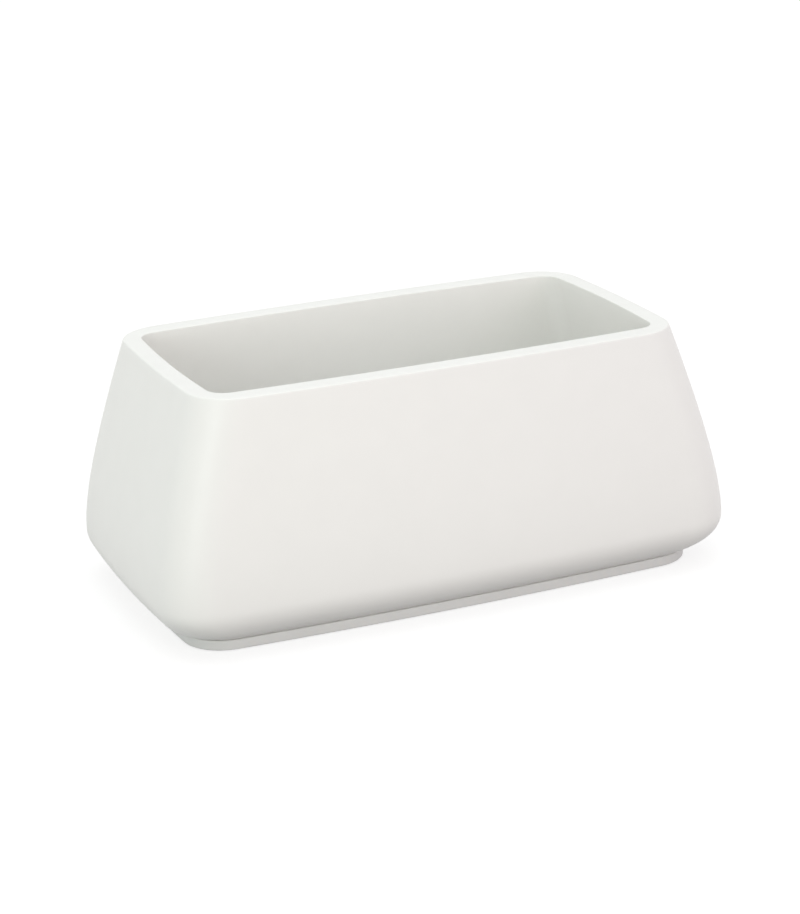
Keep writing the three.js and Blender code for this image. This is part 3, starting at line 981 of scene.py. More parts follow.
def middles(nodes: list[str]) -> list[Point2]:
    """Where the middles of CAD nodes stand, in millimetres."""
    return [middle(node) for node in nodes]


def row_of(name: str) -> list[str]:
    """The CAD nodes with a name and a number, in order."""
    return sorted(node for node in frame["nodes"] if node.startswith(f"{name}_"))


def pair(name: str) -> list[str]:
    """The CAD nodes with a name at the left and the right drain."""
    return [f"{name}_{side.value}" for side in Side]


def linear(code: str) -> Colour:
    """The linear colour of a hexadecimal code.

    Args:
        code: six digits, red first.

    Returns:
        Red, green and blue.
    """
    values = [int(code[k : k + 2], 16) / 255 for k in (0, 2, 4)]
    return tuple(v / 12.92 if v <= 0.04045 else ((v + 0.055) / 1.055) ** 2.4 for v in values)


class EffectGroup:
    """A shader node group with named inputs and outputs, shared by materials."""

    name: str = "effect"
    inputs: dict[str, float] = {}
    outputs: tuple[str, ...] = ()
    noise_roughness: float = 0.55

    def __init__(self) -> None:
        """Makes the group's sockets and has it built."""
        self.tree = bpy.data.node_groups.new(self.name, "ShaderNodeTree")
        face, kind = self.tree.interface, "NodeSocketFloat"
        for name, value in self.inputs.items():
            socket = face.new_socket(name=name, in_out="INPUT", socket_type=kind)
            socket.default_value = value
        for name in self.outputs:
            face.new_socket(name=name, in_out="OUTPUT", socket_type=kind)
        self.wiring = Wiring(self.tree)
        self.given = self.wiring.add("NodeGroupInput").outputs
        results = self.build()
        self.wiring.add("NodeGroupOutput", dict(enumerate(results)))

    def build(self) -> list[Socket]:
        """Adds the group's nodes and returns its outputs in order."""
        raise NotImplementedError

    def noise(self, size: Socket, detail: float, vector: Socket | None = None) -> Socket:
        """Soft noise with features of a size.

        Args:
            size: the features' size in metres.
            detail: octaves.
            vector: where it is read, or None for the object's own coordinates.

        Returns:
            Values about 0.5.
        """
        w = self.wiring
        place = vector or w.add("ShaderNodeTexCoord").outputs["Object"]
        values = {"Vector": place, "Scale": w.math("DIVIDE", 1.0, size), "Detail": detail}
        node = w.add("ShaderNodeTexNoise", {**values, "Roughness": self.noise_roughness})
        return node.outputs[0]


class MouldGrain(EffectGroup):
    """Grain and slow ripple that a mould leaves on plastic, and the tone that varies with them."""

    name = "mould_grain"
    inputs = {"Grain Size": 0.001, "Grain Depth": 1e-5, "Ripple Size": 0.09, "Ripple Depth": 1e-4}
    outputs = ("Height", "Mottle")
    mottle_size: float = 0.45
    mottle_detail: float = 4.0

    def build(self) -> list[Socket]:
        """Adds a pebbled grain to a long ripple.

        Returns:
            The height and the mottled tone.
        """
        w, given = self.wiring, self.given
        place = w.add("ShaderNodeTexCoord").outputs["Object"]
        values = {"Vector": place, "Scale": w.math("DIVIDE", 1.0, given["Grain Size"])}
        pebbles = w.add("ShaderNodeTexVoronoi", values, feature="SMOOTH_F1")
        grain = w.math("MULTIPLY", pebbles.outputs["Distance"], given["Grain Depth"])
        ripple = w.math("MULTIPLY", self.noise(given["Ripple Size"], 1.0), given["Ripple Depth"])
        patch = w.math("MULTIPLY", given["Ripple Size"], self.mottle_size)
        tone = self.noise(patch, self.mottle_detail)
        return [w.math("ADD", grain, ripple), tone]


class SettledDust(EffectGroup):
    """Dust on faces that look up, thicker where the noise gathers it."""

    name = "settled_dust"
    inputs = {"Amount": 0.1, "Patch Size": 0.04}
    outputs = ("Mask",)
    looking_up: Point2 = (0.55, 1.0)
    gathered: Point2 = (0.35, 0.75)
    detail: float = 6.0

    def build(self) -> list[Socket]:
        """Multiplies how far a face looks up by a patchy noise.

        Returns:
            The mask.
        """
        w, given = self.wiring, self.given
        _, _, upward = w.split(w.add("ShaderNodeNewGeometry").outputs["Normal"])
        facing = w.ranged(upward, self.looking_up)
        patches = w.ranged(self.noise(given["Patch Size"], self.detail), self.gathered)
        return [w.math("MULTIPLY", w.math("MULTIPLY", facing, patches), given["Amount"])]


class FineScuffs(EffectGroup):
    """Hair-fine rub marks that run in loose directions."""

    name = "fine_scuffs"
    inputs = {"Amount": 0.1, "Mark Size": 0.006}
    outputs = ("Mask",)
    direction: Point3 = (0.4, 0.2, 0.7)
    stretch: Point3 = (1, 14, 9)
    crest: Point2 = (0.6, 0.78)
    detail: float = 3.0

    def build(self) -> list[Socket]:
        """Draws the noise out along one way and keeps only its crests.

        Returns:
            The mask.
        """
        w, given = self.wiring, self.given
        place = w.add("ShaderNodeTexCoord").outputs["Object"]
        values = {"Vector": place, "Rotation": self.direction, "Scale": self.stretch}
        drawn = w.add("ShaderNodeMapping", values)
        marks = self.noise(given["Mark Size"], self.detail, drawn.outputs[0])
        return [w.math("MULTIPLY", w.ranged(marks, self.crest), given["Amount"])]


class TurnedLines(EffectGroup):
    """Fine rings that a lathe leaves, along a turned piece's own radius and height."""

    name = "turned_lines"
    inputs = {"Pitch": 0.0004, "Depth": 4e-6}
    outputs = ("Height",)

    def build(self) -> list[Socket]:
        """Runs a wave along the turned attribute.

        Returns:
            The height.
        """
        w, given = self.wiring, self.given
        turned = w.add("ShaderNodeAttribute", attribute_name="turned").outputs["Vector"]
        radius, height, _ = w.split(turned)
        way = w.math("MULTIPLY", w.math("ADD", radius, height), TURN)
        phase = w.math("DIVIDE", way, given["Pitch"])
        return [w.math("MULTIPLY", w.math("SINE", phase), given["Depth"])]


class Effects:
    """The effect groups, each built once."""

    def __init__(self) -> None:
        """Builds every group."""
        self.grain = MouldGrain()
        self.dust = SettledDust()
        self.scuffs = FineScuffs()
        self.lines = TurnedLines()


class Dressing:
    """Builds one material: a Principled BSDF with effect groups round it."""

    noise_span: Point2 = (0.3, 0.7)

    def __init__(self, name: str, effects: Effects) -> None:
        """Makes an empty material.

        Args:
            name: the material's name.
            effects: the shared groups.
        """
        self.effects = effects
        self.material = bpy.data.materials.new(name)
        self.wiring = cleared(self.material)
        self.shader = self.wiring.add("ShaderNodeBsdfPrincipled")
        self.wiring.add("ShaderNodeOutputMaterial", {"Surface": self.shader.outputs[0]})

    def place(self, group: EffectGroup, **values: float) -> dict[str, Socket]:
        """Places an effect group with its own values.

        Args:
            group: the group.
            values: input name, with underscores for spaces, to value.

        Returns:
            The group's outputs by name.
        """
        node = self.wiring.add("ShaderNodeGroup", node_tree=group.tree)
        for name, value in values.items():
            node.inputs[name.replace("_", " ").title()].default_value = value
        return {socket.name: socket for socket in node.outputs}

    def blend(self, share: object, first: object, second: object) -> Socket:
        """Mixes two colours.

        Args:
            share: how much of the second one.
            first: a colour or a socket.
            second: a colour or a socket.

        Returns:
            The mix.
        """
        node = self.wiring.add("ShaderNodeMix", data_type="RGBA")
        colours = [socket for socket in node.inputs if socket.type == "RGBA"]
        self.wiring.feed(node.inputs[0], share)
        for socket, value in zip(colours, (first, second)):
            linked = isinstance(value, Socket)
            self.wiring.feed(socket, value if linked else (*value, 1))
        return next(socket for socket in node.outputs if socket.type == "RGBA")

    def ranged(self, value: Socket, low: float, high: float) -> Socket:
        """Spreads the middle of a noise over a range."""
        return self.wiring.ranged(value, self.noise_span, (low, high))

    def bump(self, height: Socket) -> None:
        """Lets a height in metres shade the surface.

        Args:
            height: the height.
        """
        values = {"Height": height, "Distance": 1.0, "Strength": 1.0}
        node = self.wiring.add("ShaderNodeBump", values)
        self.wiring.feed(self.shader.inputs["Normal"], node.outputs[0])


@dataclass(frozen=True)
class MouldedPlastic:
    """Moulded plastic with a pebbled grain, a slow ripple, dust and fine scuffs."""

    name: str
    tone: str
    shade: str
    roughness: float = 0.55
    grain_size: float = 0.0012
    grain_depth: float = 1.2e-5
    ripple_size: float = 0.11
    ripple_depth: float = 1.5e-4
    dust: float = 0.1
    dust_tone: str = "a9a294"
    scuffs: float = 0.12
    unevenness: float = 0.03

    def material(self, effects: Effects) -> Material:
        """Builds the material.

        Args:
            effects: the shared groups.

        Returns:
            The material.
        """
        dressing = Dressing(self.name, effects)
        grain = dressing.place(
            effects.grain,
            grain_size=self.grain_size,
            grain_depth=self.grain_depth,
            ripple_size=self.ripple_size,
            ripple_depth=self.ripple_depth,
        )
        dust = dressing.place(effects.dust, amount=self.dust)["Mask"]
        scuffs = dressing.place(effects.scuffs, amount=self.scuffs)["Mask"]
        share = dressing.ranged(grain["Mottle"], 0.0, 1.0)
        plastic = dressing.blend(share, linear(self.tone), linear(self.shade))
        dusty = dressing.blend(dust, plastic, linear(self.dust_tone))
        w, shader = dressing.wiring, dressing.shader
        w.feed(shader.inputs["Base Color"], dusty)
        low, high = self.roughness - self.unevenness, self.roughness + self.unevenness
        even = dressing.ranged(grain["Mottle"], low, high)
        w.feed(shader.inputs["Roughness"], w.math("ADD", w.math("SUBTRACT", even, scuffs), dust))
        dressing.bump(grain["Height"])
        return dressing.material


@dataclass(frozen=True)
class TurnedMetal:
    """Turned metal with lathe rings and a slightly stained tone."""

    name: str
    tone: str
    shade: str
    roughness: float = 0.3
    polish: Point2 = (0.06, 0.08)
    stain_size: float = 0.008
    pitch: float = 0.0004
    depth: float = 3e-6

    def material(self, effects: Effects) -> Material:
        """Builds the material.

        Args:
            effects: the shared groups.

        Returns:
            The material.
        """
        dressing = Dressing(self.name, effects)
        grain = dressing.place(effects.grain, grain_depth=0.0, ripple_size=self.stain_size)
        lines = dressing.place(effects.lines, pitch=self.pitch, depth=self.depth)["Height"]
        share = dressing.ranged(grain["Mottle"], 0.0, 1.0)
        w, shader = dressing.wiring, dressing.shader
        metal = dressing.blend(share, linear(self.tone), linear(self.shade))
        w.feed(shader.inputs["Base Color"], metal)
        smoother, rougher = self.polish
        low, high = self.roughness - smoother, self.roughness + rougher
        w.feed(shader.inputs["Roughness"], dressing.ranged(grain["Mottle"], low, high))
        shader.inputs["Metallic"].default_value = 1.0
        dressing.bump(lines)
        return dressing.material


FINISHES: dict[Slot, MouldedPlastic | TurnedMetal] = {
    Slot.BODY: MouldedPlastic(
        "off_white_polyethylene", "f2f2ef", "f1f1ee", 0.42, dust=0.03, scuffs=0.04
    ),
    # The plinth's tone is darker than the body's. Part of that is the plinth's own grey, and part
    # is painted shade that stands in for the shade under the body's overhang.
    Slot.PLINTH: MouldedPlastic("plinth_plastic_with_painted_shade", "e1e2e0", "dfe0de", 0.55, scuffs=0.06),
    Slot.FITTING: MouldedPlastic("grey_drain_plastic", "8b8e90", "7f8284", 0.45, ripple_size=0.02),
    Slot.PLUG: MouldedPlastic("charcoal_plug_plastic", "3a3c3e", "333537", 0.42, ripple_size=0.015),
    Slot.SEAL: MouldedPlastic("seal_rubber", "1f2021", "262728", 0.6, ripple_size=0.01),
    Slot.FOOT: MouldedPlastic(
        "foot_rubber",
        "1f2021",
        "2b2c2c",
        0.8,
        grain_size=0.0007,
        grain_depth=3e-5,
        ripple_size=0.02,
    ),
    Slot.STEEL: TurnedMetal("stainless_steel", "b9bcc0", "aaadb1"),
    Slot.BRASS: TurnedMetal("turned_brass", "b8924a", "a5803c", 0.34),
}


@dataclass
class Workshop:
    """What every sub-assembly builds with."""

    loft: BowedLoft
    row: TurnedRow
    materials: dict[Slot, Material]

    def solid(
        self,
        name: str,
        profile: list[Point2],
        places: list[Point2],
        slot: Slot,
        steps: int = ROUND_STEPS,
        flats: dict[int, float] | None = None,
    ) -> Mesh:
        """Turns a closed solid at each place.

        Args:
            name: the mesh's name.
            profile: [radius, height] points in millimetres.
            places: where the axes stand, in millimetres.
            slot: the material slot.
            steps: facets of a turn.
            flats: profile point number to the width across flats that holds it.

        Returns:
            One closed mesh of all the repeats.
        """
        material = self.materials[slot]
        return closed(name, material, self.row.turn(profile, places, material, steps, flats))


FOOT_INSET = 48
LIP_BREADTH = 28
BELT = Plan(half_length=500, half_width=283, end_bow=12, side_bow=14, corner_radius=80)
RIM = Plan(half_length=419.5, half_width=242.5, end_bow=9, side_bow=10.5, corner_radius=78)
FOOT = replace(BELT.grown(-FOOT_INSET), corner_radius=74)
LIP = FOOT.grown(-LIP_BREADTH)


@dataclass
class PlanterShell:
    """The double-walled moulded body."""

    height: float = 413
    belt_height: float = 84
    lip_height: float = 20.3
    floor_height: float = 62
    skin: float = 5
    lean: float = 0.3
    top_drop: float = 75
    belt_rise: float = 83
    belt_drop: float = 36
    flat_run: float = 16
    flat_rise: float = 9.5
    foot_round: float = 2.2
    rim_ends: float = 31
    rim_sides: float = 37
    opening_radius: float = 32
    space_radius: float = 48
    outer_round: float = 2.2
    inner_round: float = 2.5
    floor_round: float = 35
    support_radius: float = 24
    well_radius: float = 40
    draft: float = 0.3
    hole_lip: float = 4
    dish_round: float = 3
    drain_radius: float = 17.3
    insert_radius: float = 4.9
    boss_radius: float = 10
    boss_height: float = 22
    supports: tuple[Point2, ...] = tuple((x, y) for x in (-300, 0, 300) for y in (-110, 110))
    floor_rows: int = 10
    inner_rows: int = 18
    inner_round_rows: int = 6
    outer_round_rows: int = 7
    outer_rows: int = 44
    under_rows: int = 26
    hidden_rows: int = 12
    steps: Steps = Steps()

    @property
    def hollow_floor(self) -> float:
        """How high the lowest face inside the hollow wall is."""
        return self.lip_height + self.skin

    @property
    def under_floor(self) -> float:
        """How high the underside of the floor is."""
        return self.floor_height - self.skin

    @property
    def wall_foot(self) -> float:
        """How high the inner wall starts."""
        return self.floor_height + self.floor_round

    def outer_wall(self, share: float) -> Station:
        """The outer face at a share of the way down.

        Args:
            share: 0 at the rim and 1 at the belt.

        Returns:
            The station.
        """
        towards_rim = cubic(1, 1 - self.lean, 0, 0, share)
        upper, lower = self.height - self.top_drop, self.belt_height + self.belt_rise
        height = cubic(self.height, upper, lower, self.belt_height, share)
        return Station(BELT.blended(RIM, towards_rim), height)

    def share_at(self, height: float) -> float:
        """The share of the outer face at a height, found by halving.

        Args:
            height: the height.

        Returns:
            The share.
        """
        low, high = 0.0, 1.0
        for _ in range(HALVINGS):
            half = (low + high) / 2
            if self.outer_wall(half).height > height:
                low = half
            else:
                high = half
        return (low + high) / 2

    def outer_at(self, height: float) -> Plan:
        """The outer plan at a height."""
        return self.outer_wall(self.share_at(height)).plan

    def inner_at(self, height: float) -> Plan:
        """The plan of the planting space at a height.

        Args:
            height: the height.

        Returns:
            The plan.
        """
        share = self.share_at(height)
        outer = self.outer_wall(share).plan
        return replace(
            outer,
            half_length=outer.half_length - self.rim_ends,
            half_width=outer.half_width - self.rim_sides,
            corner_radius=mix(self.opening_radius, self.space_radius, share),
        )

    def underside(self, share: float, depth: float) -> Station:
        """The underside at a share of the way from belt to foot.

        Args:
            share: 0 at the belt and 1 at the foot.
            depth: how far inside the face it lies.

        Returns:
            The station.
        """
        inset = (0, 0, FOOT_INSET - self.flat_run, FOOT_INSET)
        height = (
            self.belt_height,
            self.belt_height - self.belt_drop,
            self.lip_height + self.flat_rise,
            self.lip_height,
        )
        ahead, behind = min(share + NUDGE, 1), max(share - NUDGE, 0)
        run = cubic(*inset, ahead) - cubic(*inset, behind)
        fall = cubic(*height, ahead) - cubic(*height, behind)
        normal = Vector((-fall, run)).normalized()
        set_in = cubic(*inset, share) + normal.x * depth
        radius = mix(BELT.corner_radius, FOOT.corner_radius, share) - normal.x * depth
        plan = replace(BELT.grown(-set_in), corner_radius=radius)
        return Station(plan, cubic(*height, share) + normal.y * depth)

    def floor_corner(self, radius: float, floor: float, clearance: float) -> list[Station]:
        """Rounding between the level floor and the wall of the planting space.

        Args:
            radius: its radius.
            floor: the floor's height.
            clearance: how far outside the planting space it lies.

        Returns:
            Stations from the floor up.
        """
        wall = self.inner_at(self.wall_foot).grown(clearance)
        turn = quarter_round(radius, self.floor_rows)
        return [Station(wall.grown(-inset), floor + rise) for inset, rise in turn]

    def face(self) -> list[Station]:
        """Everything that shows: floor corner, inner wall, rim, outer wall and underside.

        Returns:
            The stations in that order.
        """
        stations = self.floor_corner(self.floor_round, self.floor_height, 0)
        for share in shares(self.inner_rows)[1:]:
            height = mix(self.wall_foot, self.height - self.inner_round, share)
            stations.append(Station(self.inner_at(height), height))
        for drop, out in quarter_round(self.inner_round, self.inner_round_rows)[1:]:
            height = self.height - drop
            stations.append(Station(self.inner_at(height).grown(out), height))
        for inset, drop in quarter_round(self.outer_round, self.outer_round_rows)[:-1]:
            height = self.height - drop
            stations.append(Station(self.outer_at(height).grown(-inset), height))
        start = self.share_at(self.height - self.outer_round)
        stations += [self.outer_wall(mix(start, 1, share)) for share in shares(self.outer_rows)]
        stations += [self.underside(share, 0) for share in shares(self.under_rows)[1:-1]]
        last, foot = stations[-1], self.underside(1, 0)
        reach = foot.plan.half_length
        rounding = soft_corner(
            (last.plan.half_length, last.height),
            (reach, foot.height),
            (reach - self.flat_run, foot.height),
            self.foot_round,
        )
        return stations + [Station(foot.plan.grown(x - reach), height) for x, height in rounding]

    def back(self) -> list[Station]:
        """The skin's hidden faces.

        Returns:
            Stations from the foot up to the rim, and down again to the underside of the floor.
        """
        under_rim = self.height - self.skin
        rows = shares(self.hidden_rows)
        stations = []
        for share in reversed(rows):
            station = self.underside(share, self.skin)
            stations.append(Station(station.plan, max(station.height, self.hollow_floor)))
        for share in rows[1:]:
            height = mix(self.belt_height, under_rim, share)
            stations.append(Station(self.outer_at(height).grown(-self.skin), height))
        for share in rows:
            height = mix(under_rim, self.wall_foot, share)
            stations.append(Station(self.inner_at(height).grown(self.skin), height))
        corner = self.floor_corner(self.floor_round + self.skin, self.under_floor, self.skin)
        return stations + corner[::-1][1:]

    def funnel(
        self, shop: Workshop, base: float, places: list[Point2], hole: float
    ) -> list[Mesh]:
        """Both faces of the hollow cones drawn down from the floor.

        Args:
            shop: what to build with.
            base: the cone's outer radius at its foot.
            places: where the cones stand.
            hole: radius of the hole in the foot, or 0 for none.

        Returns:
            The open meshes.
        """
        material = shop.materials[Slot.BODY]
        dish, floor, foot = self.hollow_floor, self.floor_height, self.lip_height
        top = base - self.skin + (floor - dish) * self.draft
        inner = [(top + self.hole_lip, floor), (top, floor), (base - self.skin, dish), (hole, dish)]
        outer_top = base + (self.under_floor - foot) * self.draft
        profiles = [
            softened(inner, {1: self.hole_lip, 2: self.dish_round}),
            [(outer_top, self.under_floor), (base, foot), (hole, foot)],
        ]
        if hole:
            profiles.append([(hole, dish), (hole, foot)])
        return [shop.row.turn(profile, places, material) for profile in profiles]

    def build(self, shop: Workshop) -> None:
        """Builds the body and puts it in the scene.

        Args:
            shop: what to build with.
        """
        material = shop.materials[Slot.BODY]
        face, back = self.face(), self.back()
        lip = [Station(LIP, self.lip_height), Station(LIP, self.hollow_floor)]
        supports, drains = list(self.supports), middles(pair("drain_bushing"))
        screws = middles(row_of("base_screw"))
        shell = ClosedMesh()
        for stations in (face, lip, back):
            shell.take(shop.loft.skin(stations, self.steps, material))
        shell.take(*self.funnel(shop, self.support_radius, supports, 0))
        shell.take(*self.funnel(shop, self.well_radius, drains, self.drain_radius))
        boss_top = self.lip_height + self.boss_height
        for radius, low, high in (
            (self.boss_radius, self.hollow_floor, boss_top),
            (self.insert_radius, self.lip_height, boss_top - self.skin),
        ):
            profile = [(radius, low), (radius, high), (0, high)]
            shell.take(shop.row.turn(profile, screws, material))

        rise = self.draft * (self.under_floor - self.lip_height)
        cones = [(place, self.support_radius) for place in supports]
        cones += [(place, self.well_radius) for place in drains]
        mouths = [circle(place, base - self.skin + rise + self.hole_lip) for place, base in cones]
        tops = [circle(place, base + rise) for place, base in cones]
        lip_edge = LIP.outline(self.steps)
        bores = [circle(place, self.insert_radius) for place in screws]
        bosses = [circle(place, self.boss_radius) for place in screws]
        for height, plan, holes in (
            (self.floor_height, face[0].plan, mouths),
            (self.under_floor, back[-1].plan, tops),
            (self.lip_height, face[-1].plan, [lip_edge, *bores]),
            (self.hollow_floor, back[0].plan, [lip_edge, *bosses]),
        ):
            shell.level(height, plan.outline(self.steps), holes)
        mesh = shell.finish("planter_shell", material)
        put("planter_shell", mesh, "planter", ["planter_body"])


@dataclass
class PlinthTray:
    """The recessed base: a low tray, open below, with ribs, screw bosses and pad cups."""

    top: float = 20
    ground_gap: float = 1.5
    setback: float = 1.5
    wall: float = 4.5
    web: float = 4
    edge_round: float = 2
    edge_rows: int = 6
    parting_depth: float = 4
    parting_height: float = 1.8
    top_round: float = 2
    top_rows: int = 4
    register_clearance: float = 0.3
    register_height: float = 5
    register_wall: float = 3
    rib: float = 3
    rib_clearance: float = 4
    rib_taper: float = 0.5
    side_rib: float = 80
    cross_ribs: tuple[float, ...] = (-300, 0, 300)
    boss_radius: float = 10.3
    boss_round: float = 0.8
    boss_round_steps: int = 3
    pocket_radius: float = 7.3
    pocket_top: float = 11
    screw_hole: float = 3.3
    cup_radius: float = 23.8
    pad_hole: float = 20.3
    pad_top: float = 4.5
    spanner_room: float = 7
    cut_past: float = 2
    steps: Steps = Steps(4, 18, 8)

    @property
    def rib_low(self) -> float:
        """How high the lower edges of the ribs are."""
        return self.ground_gap + self.rib_clearance

    @property
    def rib_high(self) -> float:
        """How high the ribs end, inside the web."""
        return self.top - self.web / 2

    def tray(self, shop: Workshop) -> Mesh:
        """The tray with its register, before ribs and holes.

        Args:
            shop: what to build with.

        Returns:
            A closed mesh.
        """
        material = shop.materials[Slot.PLINTH]
        plan = FOOT.grown(-self.setback)
        under = self.top - self.web
        set_in = plan.grown(-self.parting_depth)
        shelf = self.top - self.parting_height
        outside = [Station(set_in, self.top), Station(set_in, shelf)]
        for inset, drop in quarter_round(self.top_round, self.top_rows):
            outside.append(Station(plan.grown(-inset), shelf - drop))
        for rise, inset in quarter_round(self.edge_round, self.edge_rows):
            outside.append(Station(plan.grown(-inset), self.ground_gap + rise))
        inner = plan.grown(-self.wall)
        outside += [Station(inner, self.ground_gap), Station(inner, under)]
        register = LIP.grown(-self.register_clearance)
        inside_register = register.grown(-self.register_wall)
        register_top = self.top + self.register_height
        rib = [
            Station(register, self.top),
            Station(register, register_top),
            Station(inside_register, register_top),
            Station(inside_register, self.top),
        ]
        tray = ClosedMesh()
        for stations in (outside, rib):
            tray.take(shop.loft.skin(stations, self.steps, material))
        tray.level(self.top, set_in.outline(self.steps), [register.outline(self.steps)])
        tray.level(self.top, inside_register.outline(self.steps), [])
        tray.level(under, inner.outline(self.steps), [])
        return tray.finish("plinth_tray", material)

    def bar(self, half_x: float, half_y: float, x: float, y: float) -> Mesh:
        """One rib, slimmer at its lower edge.

        Args:
            half_x: half its length along X.
            half_y: half its length along Y.
            x: where its middle is.
            y: where its middle is.

        Returns:
            A closed mesh.
        """
        work = bmesh.new()
        loops = []
        for height, inset in ((self.rib_low, self.rib_taper), (self.rib_high, 0)):
            corners = [(x + u * (half_x - inset), y + v * (half_y - inset)) for u, v in CORNERS]
            loops.append([work.verts.new((a * MM, b * MM, height * MM)) for a, b in corners])
        work.faces.new(loops[0][::-1])
        work.faces.new(loops[1])
        walled(work, *loops)
        return as_mesh(work, "rib")

    def build(self, shop: Workshop) -> None:
        """Builds the plinth and puts it in the scene.

        Args:
            shop: what to build with.
        """
        material = shop.materials[Slot.PLINTH]
        inner = FOOT.grown(-self.setback - self.wall / 2)
        half, long = self.rib / 2, self.reach(inner, self.side_rib, along=True)
        ribs = [self.bar(long, half, 0, side * self.side_rib) for side in (-1, 1)]
        ribs += [self.bar(half, self.reach(inner, x, along=False), x, 0) for x in self.cross_ribs]
        screws, pads = middles(row_of("base_screw")), middles(row_of("foot_pad"))
        joined = []
        for name, radius, low, places in (
            ("bosses", self.boss_radius, self.rib_low, screws),
            ("cups", self.cup_radius, self.ground_gap, pads),
        ):
            profile = rod(radius, low, self.rib_high)
            profile = softened(profile, {1: self.boss_round}, self.boss_round_steps)
            joined.append(shop.solid(name, profile, places, Slot.PLINTH))
        whole = cut_or_joined(self.tray(shop), Change.JOIN, [*ribs, *joined], material)
        past = self.top + self.cut_past
        screw_cut = [
            (0, 0),
            (self.pocket_radius, 0),
            (self.pocket_radius, self.pocket_top),
            (self.screw_hole, self.pocket_top),
            (self.screw_hole, past),
            (0, past),
        ]
        nut_low, nut_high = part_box("bushing_nut_left")
        access = (nut_high.x - nut_low.x) / 2 / MM + self.spanner_room
        cuts = [
            shop.solid(name, profile, places, Slot.PLINTH)
            for name, profile, places in (
                ("screw_cut", screw_cut, screws),
                ("pad_cut", rod(self.pad_hole, 0, self.pad_top), pads),
                ("nut_cut", rod(access, 0, past), middles(pair("drain_bushing"))),
            )
        ]
        whole = cut_or_joined(whole, Change.CUT, cuts, material)
        put("plinth_tray", whole, "planter", ["base_plinth"])

    @staticmethod
    def reach(plan: Plan, offset: float, along: bool) -> float:
        """How far a plan reaches at an offset from its middle line.

        Args:
            plan: the plan.
            offset: distance from the middle line.
            along: True for its reach along X, False for its reach along Y.

        Returns:
            The reach.
        """
        arcs = plan.arcs()
        centre, radius = (arcs.end[0], arcs.end[2]) if along else arcs.side[1:]
        return centre + math.sqrt(radius**2 - offset**2)


@dataclass
class DrainFittings:
    """The sleeves in the floor drains, their gaskets and their nuts."""

    bore: float = 14
    sleeve: float = 17
    sleeve_bevel: float = 0.6
    flange: float = 27
    flange_thickness: float = 3.5
    flange_rounds: Point3 = (0.5, 1.1, 0.8)
    gasket_hole: float = 17.3
    gasket_radius: float = 26
    gasket_thickness: float = 2
    gasket_round: float = 0.4
    nut_flats: float = 50
    nut_thickness: float = 8
    nut_bevel: float = 0.8
    nut_chamfer: Point2 = (2.2, 1.3)
    thread_start: float = 1
    thread_end: float = 3
    thread_pitch: float = 2
    thread_depth: float = 0.5
    thread_root: Point2 = (0.4, 0.6)

    def sleeve_profile(self) -> list[Point2]:
        """The sleeve with its thread grooves and rounded flange.

        Returns:
            The closed profile.
        """
        low, high = (value.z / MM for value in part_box("drain_bushing_left"))
        flange_low = high - self.flange_thickness
        bevel, root = self.sleeve_bevel, self.sleeve - self.thread_depth
        profile = [
            (self.bore, low + bevel),
            (self.bore + bevel, low),
            (self.sleeve - bevel, low),
            (self.sleeve, low + bevel),
        ]
        height = low + self.thread_start
        while height + self.thread_pitch < flange_low - self.thread_end:
            profile.append((self.sleeve, height))
            profile += [(root, height + self.thread_pitch * share) for share in self.thread_root]
            height += self.thread_pitch
        flange = [
            (self.sleeve, height),
            (self.sleeve, flange_low),
            (self.flange, flange_low),
            (self.flange, high),
            (self.bore, high),
            profile[0],
        ]
        return profile + softened(flange, dict(enumerate(self.flange_rounds, 2)))

    def nut_profile(self) -> list[Point2]:
        """The nut with chamfered corners and a bevelled hole.

        Returns:
            The closed profile. Its points 2 to 5 reach past the flats.
        """
        low = bottom("bushing_nut_left")
        high = low + self.nut_thickness
        corner, hole, bevel = self.nut_flats / math.sqrt(3), self.gasket_hole, self.nut_bevel
        inset, drop = self.nut_chamfer
        return [
            (hole, low + bevel),
            (hole + bevel, low),
            (corner - inset, low),
            (corner, low + drop),
            (corner, high - drop),
            (corner - inset, high),
            (hole + bevel, high),
            (hole, high - bevel),
            (hole, low + bevel),
        ]

    def build(self, shop: Workshop) -> None:
        """Builds the fittings and puts them in the scene.

        Args:
            shop: what to build with.
        """
        places = middles(pair("drain_bushing"))
        sizes = (self.gasket_hole, self.gasket_radius, self.gasket_thickness)
        gasket = ring(*sizes, bottom("bushing_gasket_left"), self.gasket_round, steps=3)
        held = {number: self.nut_flats for number in range(2, 6)}
        jobs = (
            ("drain_sleeves", self.sleeve_profile(), Slot.FITTING, "drain_bushing", None),
            ("sleeve_nuts", self.nut_profile(), Slot.FITTING, "bushing_nut", held),
            ("sleeve_gaskets", gasket, Slot.SEAL, "bushing_gasket", None),
        )
        for name, profile, slot, node, flats in jobs:
            mesh = shop.solid(name, profile, places, slot, FINE_STEPS, flats)
            put(name, mesh, "planter", pair(node))


